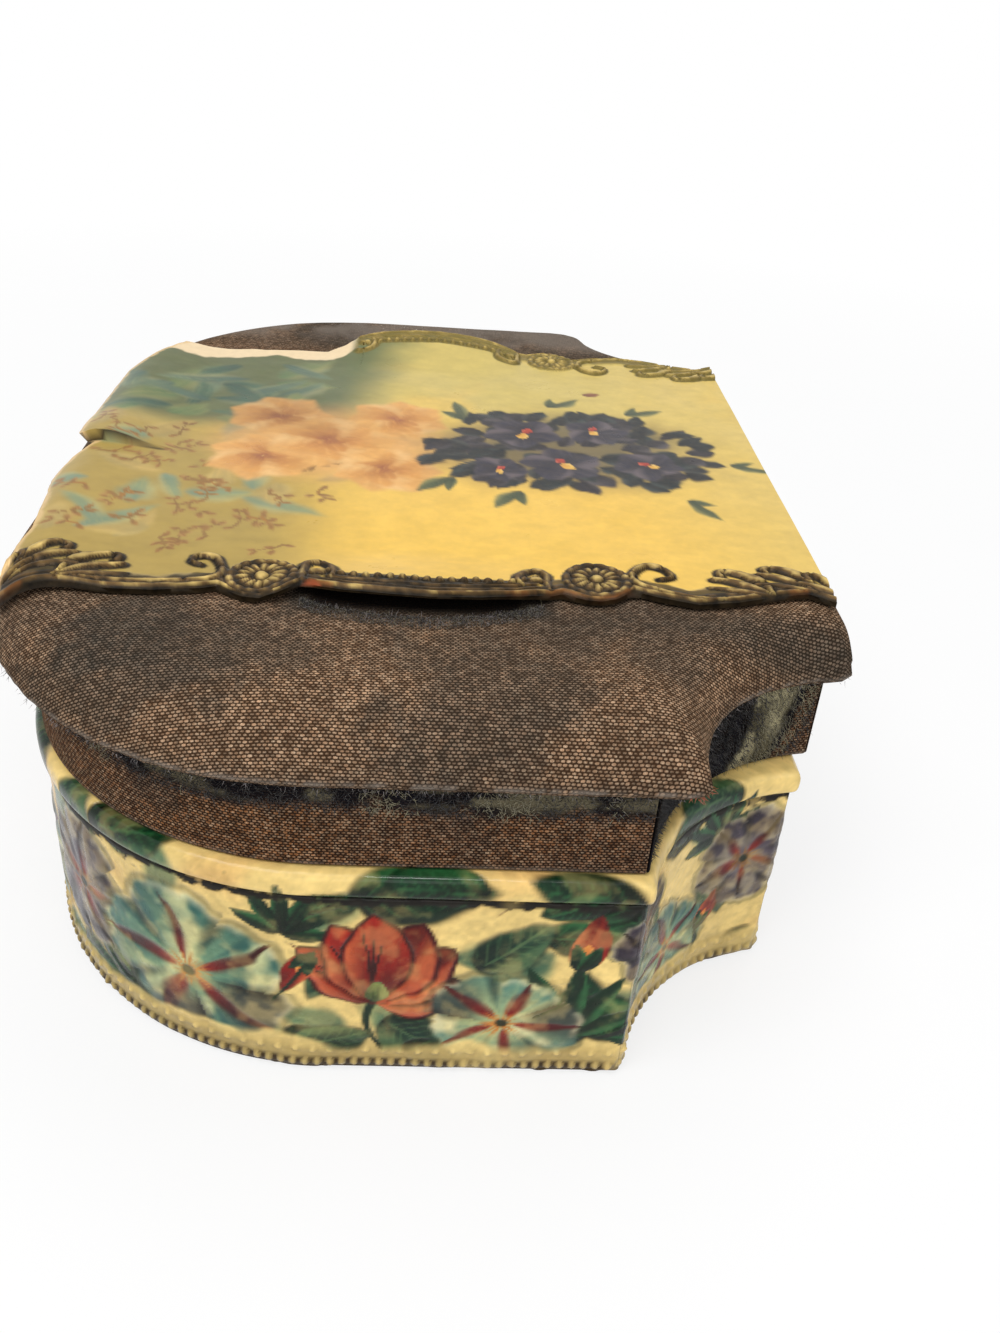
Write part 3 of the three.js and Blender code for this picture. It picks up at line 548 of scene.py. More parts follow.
def print_finish(name):
    """The printed panel's celluloid, duller and a little metallic on its bronzed border."""
    s = Shading(name)
    bronze = s.attribute("metal", "Fac")
    colour = s.mottle(s.attribute("paint"), (0.22, 0.15, 0.07), 0.12, 800, 3, 0.3, 0.8)
    dull = s.total(s.ramp(s.noise(90, 5), 0.3, 0.8, (0.26, 0.46)), s.times(bronze, 0.12))
    return s.done(Base_Color=colour, Roughness=dull, Metallic=s.times(bronze, 0.35),
                  Normal=s.bump(s.noise(260, 4), 0.0001, 0.4), Specular_IOR_Level=0.1, Coat_Weight=0.03,
                  Coat_Roughness=0.2)


# ---- Painting

class Canvas:
    """A painted and embossed surface: a place in millimetres, a colour, a height and a dark wash at
    each point. Each stroke works on the points near it."""

    def __init__(self, x, y, ground):
        self.x, self.y = x, y
        self.rgb = np.empty(x.shape + (3,))
        self.rgb[:] = ground
        self.rise = np.zeros(x.shape)
        self.wash = np.zeros(x.shape)

    def near(self, cx, cy, reach):
        return np.nonzero((np.abs(self.x - cx) < reach) & (np.abs(self.y - cy) < reach))

    def local(self, cx, cy, reach, angle=0.0):
        """The points near a place, and where they lie along and across a line through it."""
        spot = self.near(cx, cy, reach)
        dx, dy = self.x[spot] - cx, self.y[spot] - cy
        c, s = math.cos(angle), math.sin(angle)
        return spot, dx * c + dy * s, dy * c - dx * s

    def beside(self, points, width):
        """The points near a parabola of three points: how far each is from it, and the share of its
        length where that is."""
        p = np.asarray(points, float)
        t = np.linspace(0, 1, 90)[:, None]
        path = (1 - t) ** 2 * p[0] + 2 * t * (1 - t) * p[1] + t**2 * p[2]
        spot = self.near(*((path.max(0) + path.min(0)) / 2), np.ptp(path, 0).max() / 2 + width + 1)
        d = np.hypot(self.x[spot][:, None] - path[:, 0], self.y[spot][:, None] - path[:, 1])
        return spot, d.min(1), t[d.argmin(1), 0]

    def lay(self, spot, mask, colour, rise=0.0):
        """Paints points by a mask, and brings them to a height."""
        self.rgb[spot] = towards(self.rgb[spot], colour, mask)
        if np.ndim(rise) or rise:
            self.rise[spot] += (rise - self.rise[spot]) * mask

    def tint(self, colour, share):
        """Moves the whole canvas towards a web colour or light, by a share at each point."""
        self.rgb = towards(self.rgb, linear(colour) if isinstance(colour, str) else colour, share)

    def petal(self, cx, cy, angle, length, width, root, tip, light, seed, rise=0.12, point=0.8, soft=0.16):
        """A petal or leaf along a line: its half width is a power of the sine of its length, its colour
        runs from root to tip with streaks along it, and one side catches the light."""
        spot, run, across = self.local(cx, cy, length * 1.15, angle)
        run, across = run / length, across / width
        wobble = 0.16 * (grain(run * 5 + seed, across * 3, seed) - 0.5)
        limit = np.sin(math.pi * np.clip(run, 0, 1) ** point) ** 0.75
        edge = limit - np.abs(across + 0.15 * np.sin(3 * run)) + wobble
        mask = step(0, soft, edge) * step(0, 0.04, run)
        streak = grain(across * 7, run * 1.4, seed + 3) - 0.5
        share = np.clip(run + 0.5 * streak, 0, 1)[..., None]
        colour = np.asarray(root) * (1 - share) + np.asarray(tip) * share
        glow = 0.55 * step(0.1, 0.7, across * (1 if seed % 2 else -1)) * step(0.1, 0.35, edge + 0.15)
        colour = towards(colour, light, glow + 0.25 * np.abs(streak))
        self.lay(spot, mask, colour, rise * np.clip(edge * 2, 0, 1))

    def bloom(self, cx, cy, radius, turn, outer, middle, light, ray, throat, seed):
        """An open trumpet flower of petals that differ: each has its own length and shade, a ruffled pale
        edge, folds towards its neighbours, and a dark ray that swells and tapers along it; the throat
        is warm with a dark spot."""
        petals = 5
        spot, dx, dy = self.local(cx, cy, radius * 1.3)
        dy = dy * 1.08
        r = np.hypot(dx, dy) / radius
        angle = np.arctan2(dy, dx) - turn + 0.25 * stir(dx, dy, radius, seed)
        part = angle * petals / (2 * math.pi)
        k = np.round(part)
        off = part - k
        own = [grain((k % petals) * 3.7 + 0.5, k * 0 + i, seed + i) for i in (1, 2, 3)]
        ruffle = 0.10 * (grain(angle * 4, r * 0, seed + 4) - 0.5)
        ruffle = ruffle + 0.05 * (grain(angle * 11, r * 3, seed + 5) - 0.5)
        edge = (0.78 + 0.3 * own[0]) * (1 - 0.9 * np.abs(off) ** 3) + ruffle
        mask = step(0, 0.09, edge - r)
        streak = grain(angle * 10 + 40, r * 1.4, seed + 6) - 0.5
        share = step(0.1, 0.95, r / edge + 0.45 * streak)[..., None]
        colour = np.asarray(middle) * (1 - share) + np.asarray(outer) * share
        patch = cloudy(dx / radius * 3 + 9, dy / radius * 3 + 9, 1.0, seed + 7, 3)
        colour = towards(colour, light, step(0.5, 0.78, patch) * 0.85)
        shade = step(0.45, 0.75, own[1]) * step(0.12, 0.5, r) * step(-0.45, 0.1, off)
        colour = towards(colour, linear("453A40"), 0.75 * shade)
        fold = step(0.34, 0.5, np.abs(off)) * step(0.15, 0.6, r)
        colour = colour * (1 - 0.55 * fold)[..., None]
        pale = step(0.16, 0.03, edge - r) * step(0.3, 0.6, grain(angle * 5, r, seed + 8))
        colour = towards(colour, linear("E4DCC0"), 0.55 * pale)
        away = np.abs(off + 0.05 * np.sin(5 * r + seed)) * 2 * math.pi / petals * r
        swell = np.sin(math.pi * np.clip((r - 0.08) / (0.92 * edge), 0, 1) ** 0.7)
        swell = 0.12 * swell * (0.6 + 0.7 * own[2])
        line = step(1.1, 0.2, (away + 0.05 * streak) / np.maximum(swell, 1e-3)) * step(0.08, 0.16, r)
        heat = step(0.62, 0.15, r)[..., None]
        colour = towards(colour, np.asarray(ray) * (1 - heat) + np.array(linear("97332E")) * heat, line)
        colour = towards(colour, throat, step(0.24, 0.05, r + 0.25 * streak))
        colour = towards(colour, linear("26402F"), step(0.085, 0.05, r) * 0.9)
        rim = step(-0.07, -0.01, edge - r) * (1 - mask)
        self.lay(spot, rim * 0.45, linear("4A5A48"))
        rise = 0.3 * step(0, 0.25, edge - r) * (0.7 + 0.5 * patch) - 0.1 * line - 0.1 * fold
        self.lay(spot, mask, colour, rise)

    def leaf(self, cx, cy, angle, length, width, shades, seed, rise=0.2):
        """A leaf with a dark edge, a pale midrib and slanting side veins."""
        root, tip, light = shades
        self.petal(cx - 0.3 * math.cos(angle), cy - 0.3 * math.sin(angle), angle, length * 1.07,
                   width * 1.12, np.multiply(root, 0.5), np.multiply(root, 0.8), root, seed, 0, 0.7, 0.4)
        self.petal(cx, cy, angle, length, width, root, tip, light, seed, rise, 0.7, 0.25)
        spot, run, across = self.local(cx, cy, length, angle)
        half = width * np.sin(math.pi * np.clip(run / length, 0.01, 0.99) ** 0.7)
        inside = step(0.06, 0.14, run / length) * step(0.95, 0.8, run / length)
        inside = inside * step(0.9, 0.6, np.abs(across) / half)
        rib = step(0.28, 0.08, np.abs(across + 0.06 * width * np.sin(run / length * 5)))
        slant = (run - 0.9 * np.abs(across)) / (length * 0.13)
        veins = step(0.2, 0.06, np.abs(slant - np.round(slant))) * 0.6
        self.lay(spot, inside * np.maximum(rib, veins) * 0.45, light)

    def stem(self, points, width, colour, rise=0.06):
        """A thin stroke along a parabola, which thins out to its end."""
        spot, far, t = self.beside(points, width)
        self.lay(spot, step(1.25, 0.6, far / (width * (1 - 0.6 * t))), colour, rise)

    def ridge(self, points, widths, height):
        """A raised stroke along a parabola, round in section, as wide as the widths at its two ends and
        its middle."""
        spot, far, t = self.beside(points, max(widths))
        wide = np.interp(t, (0, 0.5, 1), widths)
        around = self.rise[spot] * step(1.0, 1.35, far / wide)
        self.rise[spot] = np.maximum(around, height * dome(far / wide))
        self.wash[spot] = np.maximum(self.wash[spot], step(0.6, 0.25, far - wide))


PETALS = {
    "teal": ("55817A", "8FAA90", "D6D6AE", "5A2026", "C08A4C"),
    "pale": ("7E9F90", "BDC49C", "E6DEB8", "6E2A30", "CE9A5A"),
    "plum": ("564F5C", "837A80", "BDB4A0", "33232B", "9C7A52"),
}
RED = tones("6E0F12", "B02E22", "E39A6C")
GREEN = tones("072219", "14503A", "5C9468")
OLIVE = tones("143530", "2F5F4E", "86A078")
MIST = tones("4F7564", "83997A", "BDBC90")


def wall_art(s, h, cream):
    """The painting on the walls and rim, over the length run round the box from the middle of the front
    and the height up the wall: trumpet blossoms, a red one among them, over leaves, buds, stems and
    misty foliage, on a cream ground with faint embossed curls."""
    art = Canvas(s + 0.5 * stir(s, h, 4, 90), h + 0.5 * stir(s, h, 4, 93), cream)
    art.rgb *= 1 + 0.2 * stir(s, h, 22, 5)[..., None]
    art.tint("D6A672", 0.45 * step(0.52, 0.8, cloudy(s, h, 12, 8)))
    chance = np.random.default_rng(11)
    for k, at in enumerate(np.arange(-212, 213, 17.0)):
        reach = 6.5 + 2 * chance.random()
        spot = art.near(at, 10, reach + 2)
        off = np.abs(np.hypot(s[spot] - at, h[spot] - 8 - 4 * (k % 2)) - reach)
        art.rise[spot] += 0.2 * step(0.5, 0.1, off)
        art.rgb[spot] *= 1 - 0.16 * step(0.7, 0.3, off)[..., None]
    for k, at in enumerate(np.arange(-216, 217, 6.2)):
        art.petal(at, 14 + 10 * math.sin(k * 2.3), 1.9 * k, 10 + 3 * chance.random(), 3.2 + chance.random(),
                  *MIST, k, 0.05, 0.8, 0.5)
    for seed, (at, high, angle, length, width, fresh) in enumerate(LEAVES):
        art.leaf(at, high, math.radians(angle), length, width, GREEN if fresh else OLIVE, seed)
    for k, (at, high, angle, length) in enumerate(SPRAYS):
        for lean in (-70, -38, -10, 20, 52, 85):
            reach = length * (0.7 + 0.3 * math.cos(math.radians(lean)))
            art.petal(at, high, math.radians(angle + lean), reach, length * 0.13, *GREEN, k + lean,
                      0.08, 0.9, 0.15)
    for kind, at, high, radius, turn in BLOSSOMS:
        seed = int(at * 7) % 97
        if kind == "red":
            red_blossom(art, at, high, radius, turn, seed)
        else:
            art.bloom(at, high, radius, math.radians(turn), *map(linear, PETALS[kind]), seed)
    for at, high, angle, length in BUDS:
        lean = math.radians(angle)
        root, tip, light = RED
        for turn, long, wide, shades, seed, rise, point in (
            (0, 1.0, 0.24, (tip, root, light), 5, 0.12, 0.75),
            (0, 0.5, 0.13, tones("E2BE62", "D98A4A", "EFD79A"), 8, 0.12, 0.8),
            (0.3, 0.5, 0.12, GREEN, 6, 0.14, 0.8), (-0.3, 0.5, 0.12, GREEN, 7, 0.14, 0.8),
        ):
            art.petal(at, high, lean + turn, length * long, length * wide, *shades, seed, rise, point)
        bend = (at + 2 * math.sin(lean), high - 4)
        art.stem([(at, high), bend, (at - 5, high - 8)], 0.4, linear("1F4634"))
    foot = step(5.8, 4.2, h + 6 * stir(s, h, 10, 37))
    faded = 0.26 * step(0.44, 0.7, cloudy(s, h, 3, 39, 4)) * step(4, 8, h)
    art.tint(np.array(cream) * 1.08, np.maximum(0.92 * foot, faded))
    art.rgb *= (1 + 0.28 * stir(s, h, 0.8, 31, 3) + 0.2 * stir(s, h, 5, 35, 3))[..., None]
    art.rgb = 1.13 * art.rgb**1.54
    return art


def red_blossom(art, at, high, radius, turn, seed):
    """A red blossom seen from the side: long petals spread from its cup, deep red and peach in streaks."""
    root, tip, light = RED
    art.stem([(at, high), (at - 2, high - 4), (at + 2, high - 9)], 0.6, linear("2B4A38"))
    for k, lean in enumerate((-62, 58, -34, 34, -12, 12)):
        angle = math.radians(turn + lean)
        size = radius * (1.25 - 0.004 * abs(lean))
        ends = (root, tip) if k % 2 else (tip, root)
        art.petal(at, high, angle, size * 1.04, size * 0.33, root * 0.5, root * 0.7, root, seed + k,
                  0, 0.95, 0.1)
        art.petal(at, high, angle, size, size * 0.30, *ends, light, seed + k, 0.3, 0.95, 0.12)
        for share in (-0.11, 0.0, 0.1):
            reach = size * (0.75 + 0.5 * share)
            tip_at = (at + reach * math.cos(angle + share), high + reach * math.sin(angle + share))
            middle = (at + 0.5 * reach * math.cos(angle), high + 0.5 * reach * math.sin(angle))
            art.stem([(at, high), middle, tip_at], 0.32, root * 0.6, 0.12)
    cup = tones("26402F", "6C8A56", "B9BE86")
    art.petal(at, high, math.radians(turn), radius * 0.34, radius * 0.13, *cup, seed, 0.16)


def around(rows):
    """The rows of a table, and again those near either end of the run round the box moved past its other
    end, so that the seam at the back shows nothing. A row's place is its first number."""
    half, margin = 219.5, 25
    copies = []
    for row in rows:
        k = 1 if isinstance(row[0], str) else 0
        if abs(row[k]) > half - margin:
            copies.append((*row[:k], row[k] - math.copysign(2 * half, row[k]), *row[k + 1 :]))
    return rows + copies


BLOSSOMS = around([
    # kind, place along the wall, height, radius, turn
    ("plum", 61, 17, 12, 10), ("teal", 80, 13.5, 14, 30), ("red", 103, 12, 12, 78),
    ("pale", 119, 9, 11, 64), ("plum", 139, 21, 8, 12), ("teal", 150, 9, 9, 40),
    ("plum", 163, 19, 10, 130), ("plum", 187, 15, 12, 70), ("teal", 208, 14, 13, 25),
    ("pale", 42, 12, 12, 50), ("red", 22, 12, 11, 100), ("teal", 2, 16, 13, 5),
    ("plum", -19, 13, 12, 45), ("pale", -40, 19, 11, 22), ("red", -60, 10, 12, 100),
    ("teal", -82, 14, 14, 0), ("plum", -104, 17, 12, 33), ("pale", -123, 11, 12, 11),
    ("teal", -149, 15, 12, 50), ("red", -169, 13, 10, 80), ("plum", -190, 15, 12, 15),
    ("pale", -212, 18, 11, 60),
])
LEAVES = around([
    # place along the wall, height, angle, length, half width, and 1 for a fresh green
    (at + 9 * math.cos(k * 2.1), 15 + 10 * math.sin(k * 1.7), 40 * k % 360, 10 + k % 4,
     3.2 + 0.5 * (k % 3), k % 2)
    for k, at in enumerate(np.arange(-214, 215, 7.3))
] + [
    # the dark leaves that turn over the rim, and others low by the foot
    (100, 30, 5, 17, 5.4, 1), (116, 30.5, 172, 12, 4.6, 1), (94, 27, 20, 9, 3, 1),
    (66, 31, 15, 13, 4.4, 1), (134, 28, 160, 14, 4.4, 1), (131, 30, 200, 9, 3, 1),
    (93, 4, 15, 11, 3, 0), (107, 4.5, 340, 10, 2.8, 1), (128, 9, 20, 10, 4.4, 1),
    (136, 8, 160, 11, 4.2, 1), (145, 29, 10, 12, 4, 1), (160, 31, 170, 12, 4, 0),
    (-90, 30, 15, 16, 5, 1), (-30, 30, 170, 15, 4.6, 1), (32, 31, 10, 14, 4.4, 1),
    (200, 31, 170, 14, 4.4, 1), (-140, 31, 12, 14, 4.4, 1), (-70, 30, 170, 10, 3.6, 1),
    (54, 28, 150, 12, 4, 1), (12, 29, 20, 10, 4, 0),
])
SPRAYS = around([
    # place along the wall, height, angle, length
    (127, 7, 95, 13), (92, 23, 70, 9), (141, 5, 120, 10), (70, 6, 60, 9), (158, 24, 100, 9),
    (36, 6, 80, 9), (-10, 26, 90, 8), (-48, 6, 100, 10), (-91, 6, 70, 9), (-134, 6, 90, 9),
    (-178, 7, 80, 9), (196, 6, 100, 9),
])
BUDS = around([
    # place along the wall, height, angle, length
    (128, 18, 80, 10), (96, 20, 240, 8), (157, 8, 70, 7), (15, 24, 110, 7), (-48, 8, 80, 8),
    (-112, 24, 95, 7), (-158, 8, 60, 7), (195, 22, 100, 7), (-201, 9, 80, 7),
])


def stain(art, s, h, pitch):
    """Adds the embossing of the foot, which is a low swell, a row of round bars near the bottom edge and a
    row of smaller beads above it, and the dark wash: in the hollows of the foot, along the groove under
    the rim, and as specks near both."""

    def row(part, long, middle, high):
        cell = (s / (part * pitch)) % 1 - 0.5
        return dome(cell * part * pitch / long, (h - middle) / high)

    bars, beads = row(0.77, 0.55, 1.5, 0.7), row(1.1, 0.45, 3.7, 0.45)
    hollow = step(5.6, 3.6, h) * (1 - np.maximum(bars, beads))
    patchy = 0.35 + 0.65 * step(0.3, 0.6, cloudy(s, h * 0.5, 9, 61))
    foot = np.clip(hollow * step(2.6, 1.4, h) * patchy + hollow * (0.1 + 0.25 * patchy), 0, 1)
    broken = step(0.28, 0.5, cloudy(s, h * 0, 7, 41, 3))
    wander = 28.8 + 0.8 * stir(s, h * 0, 6, 45, 3)
    ragged = 1.5 * (cloudy(s, h * 1.4, 1.1, 9, 3) - 0.44)
    groove = step(1.0, 0.5, np.abs(h - wander) + ragged) * (0.7 + 0.3 * broken)
    specks = step(0.74, 0.86, grain(s * 1.8, h * 1.8, 71)) * step(3.4, 0.4, np.abs(h - 28.4))
    black = np.clip(groove + 0.9 * (specks * step(0.46, 0.6, cloudy(s, h, 7, 43))), 0, 1)
    wear_and_sheen = 0.24 * step(6.0, 4.0, h) * (0.5 + 0.9 * patchy * step(5, 1, h) + 0.4 * step(2.6, 2.0, h))
    art.rgb *= (1 - wear_and_sheen)[..., None]
    art.tint("38280F", foot)
    art.tint("100C08", black)
    art.rise += 0.24 * step(0.5, 1.0, h) * step(4.7, 3.9, h) + 0.34 * bars + 0.26 * beads
    art.wash = np.maximum(foot, black)
    return art


# ---- The printed panel

NEAR_EDGE = np.array([  # the die-cut outer edge on the right: y, x
    (-51.9, 47.6), (-49.8, 48.6), (-45.1, 48.7), (-37.9, 49.5), (-32.1, 49.4), (-26.4, 48.4),
    (-24.6, 47.7), (-23.0, 48.9), (-21.2, 50.0), (-19.2, 50.3), (-17.2, 49.9), (-15.6, 48.8),
    (-14.4, 47.9), (-12.0, 49.2), (-9.0, 50.3), (-3.6, 51.3), (1.4, 51.6), (7.1, 50.7), (12.0, 49.0),
    (15.6, 47.2), (17.6, 46.3), (19.0, 47.0), (20.4, 47.7), (22.2, 47.9), (24.2, 47.2), (25.6, 45.8),
    (26.6, 44.9), (29.6, 46.2), (34.4, 47.6), (39.6, 46.6), (45.2, 44.6), (49.3, 43.6), (52.5, 45.6),
])
BOW_INNER = np.array([  # the bow's inner edge on the right: y, x
    (-15.2, 42.2), (-11.5, 43.4), (-9.4, 45.0), (1.3, 46.2), (10.5, 44.6), (12.3, 43.6), (17.6, 39.9),
])
FRONT_EDGE = np.array([  # the ragged front edge: x, y
    (-60, -42), (-45, -44), (-41, -44.5), (-34.5, -47.5), (-25.3, -51.2), (-17.6, -51.9), (-8, -52.2),
    (5.2, -51.7), (6.3, -50.6), (6.5, -48.9), (8.2, -49.6), (11.3, -51.2), (17.7, -52.6), (23.3, -51.3),
    (29, -50.6), (34.1, -49.9), (39, -51.0), (45, -51.6), (60, -51.8),
])
TORN_EDGE = np.array([  # the far edge where its border is broken off: y, x
    (-60, -40.4), (-38, -41.2), (-30, -41.8), (-24, -42.0), (-19, -42.6), (-16, -44.4), (-14, -47.2),
    (-12.6, -49.2),
])
ROSETTES = ((45.2, -19.5), (42.7, 22.1))
CRACK = ((-48.9, -38.8), (6.4, 7.0))  # from the front edge inwards: y, x


def border_relief(x, y, side):
    """Relief of one side's border on a canvas in the plane of the panel: rails along the outer edge, leaf
    scrolls with curls, a bow with beads along its inner edge, and petalled rosettes. Next to it the
    metal's reach, which is the strokes with a dark margin and the whole of the bow and rosettes, and the
    outer edge. side is 1 for the right and -1 for the left."""
    art = Canvas(side * x + 0.5 * stir(x, y, 2.2, 95), y + 0.7 * stir(x, y, 2.2, 96), (0, 0, 0))
    outer = np.interp(y, *NEAR_EDGE.T)
    u, from_inner = outer - art.x, art.x - np.interp(y, *BOW_INNER.T)
    bow = step(-12.6, -11.4, y) * step(15.4, 14.2, y)
    bead_pitch, bead_radius = 1.5, 0.58
    cell = (y / bead_pitch) % 1 - 0.5
    beads = bow * 0.58 * dome(cell * bead_pitch / bead_radius, (from_inner - 0.9) / bead_radius)
    body = step(4.0, 2.8, u + 1.6 * stir(x, y, 2.4, 97, 3)) * (1 - bow)
    rails = [high * dome((u - away) / wide) for away, wide, high in (
        (0.7, 0.5, 0.5), (1.75, 0.35, 0.35), (2.8, 0.3, 0.38), (3.4, 0.25, 0.3))]
    art.rise = np.maximum.reduce([*rails[:2], bow * rails[2], bow * rails[3], beads, 0.24 * body])
    art.wash = np.maximum(step(2.5, 2.1, u), np.maximum(bow * step(-0.1, 0.2, from_inner), 0.9 * body))
    for path, widths, height in SCROLLS:
        art.ridge(path, widths, height)
    for root, *lobes in FRONDS:
        for k, (turn, tip) in enumerate(lobes):
            art.ridge((root, turn, tip), (0.3, 0.95 - 0.15 * k, 0.4), 0.62 - 0.08 * k)
            if k == 0:
                (tip_x, tip_y), ahead = tip, math.copysign(1.0, tip[1])
                curl = (tip, (tip_x + 0.3, tip_y - ahead), (tip_x + 1.5, tip_y - 0.3 * ahead))
                art.ridge(curl, (0.4, 0.45, 0.5), 0.5)
    for k, (cx, cy) in enumerate(ROSETTES):
        r = np.hypot(art.x - cx, y - cy) * 5.0 / 4.6
        angle = np.arctan2(y - cy, art.x - cx) + 0.3 * stir(x, y, 1.8, 98 + k)
        ring = dome((r - 2.4) / 1.2) * (0.1 + 0.9 * np.abs(np.cos(7 * angle + 0.3)))
        cord = dome((r - 4.3) / 0.6) * (0.55 + 0.45 * np.abs(np.sin(8 * angle)))
        inside = step(5.1, 4.8, r)
        swell = 0.2 * np.clip(1 - (r / 5) ** 2, 0, 1)
        shape = swell + np.maximum.reduce([0.6 * dome(r / 0.95), 0.46 * ring, 0.48 * cord])
        art.rise = art.rise * (1 - inside) + inside * shape
        art.wash = np.maximum(art.wash, inside)
    broken = step(-13.5, -15.0, y) if side < 0 else 0
    return art.rise * (1 - broken), art.wash * (1 - broken), outer


SCROLLS = [  # a bent line, half widths along it, height
    # the rail's tail and its curl by the front rosette
    ([(47.6, -44.0), (48.0, -34.0), (47.0, -28.0)], (0.25, 0.4, 0.5), 0.55),
    ([(47.0, -28.0), (46.2, -23.6), (42.8, -24.6)], (0.5, 0.6, 0.5), 0.6),
    ([(42.8, -24.6), (39.2, -25.6), (40.7, -28.4)], (0.5, 0.5, 0.45), 0.6),
    ([(40.7, -28.4), (42.4, -29.4), (42.7, -27.2)], (0.4, 0.35, 0.3), 0.5),
    # either end of the bow
    ([(47.4, -14.2), (40.4, -15.6), (42.0, -12.4)], (0.4, 0.6, 0.45), 0.55),
    ([(42.0, -12.4), (43.8, -9.8), (46.8, -11.0)], (0.45, 0.5, 0.3), 0.5),
    ([(45.2, -13.2), (45.0, -12.6), (45.3, -12.0)], (0.6, 0.7, 0.6), 0.6),
    ([(45.8, 15.8), (39.6, 16.2), (41.4, 13.4)], (0.4, 0.6, 0.45), 0.55),
    ([(41.4, 13.4), (43.4, 11.0), (46.0, 12.6)], (0.45, 0.5, 0.3), 0.5),
    ([(43.9, 14.9), (43.7, 14.4), (44.0, 13.9)], (0.6, 0.7, 0.6), 0.6),
    # the curl by the back rosette and the rail's tail
    ([(46.2, 38.0), (46.8, 33.0), (44.4, 29.4)], (0.25, 0.4, 0.5), 0.55),
    ([(44.4, 29.4), (43.2, 25.6), (40.0, 27.2)], (0.5, 0.6, 0.5), 0.6),
    ([(40.0, 27.2), (36.8, 29.0), (39.0, 31.4)], (0.5, 0.5, 0.45), 0.6),
    ([(39.0, 31.4), (41.4, 33.0), (41.6, 30.2)], (0.4, 0.35, 0.3), 0.5),
]
FRONDS = [  # where a leaf scroll leaves the rail, then the bend and the tip of each of its lobes
    ((45.2, 44.5), ((39.5, 44.2), (38.6, 38.8)), ((41.8, 42.4), (41.0, 37.4)), ((43.6, 41.0), (43.6, 36.6))),
    ((43.4, 50.6), ((37.6, 50.0), (37.2, 45.2)), ((39.8, 47.8), (39.4, 43.4)), ((41.8, 46.6), (42.0, 42.6))),
    ((44.2, 53.4), ((40.0, 53.8), (38.6, 50.4)), ((42.0, 51.8), (41.2, 48.4))),
]


def mirrored(point):
    """The same place on the front half of the right border."""
    return point[0] + 2.7, 0.9 - point[1]


FRONDS += [(mirrored(root), *([mirrored(p) for p in lobe] for lobe in lobes)) for root, *lobes in FRONDS]


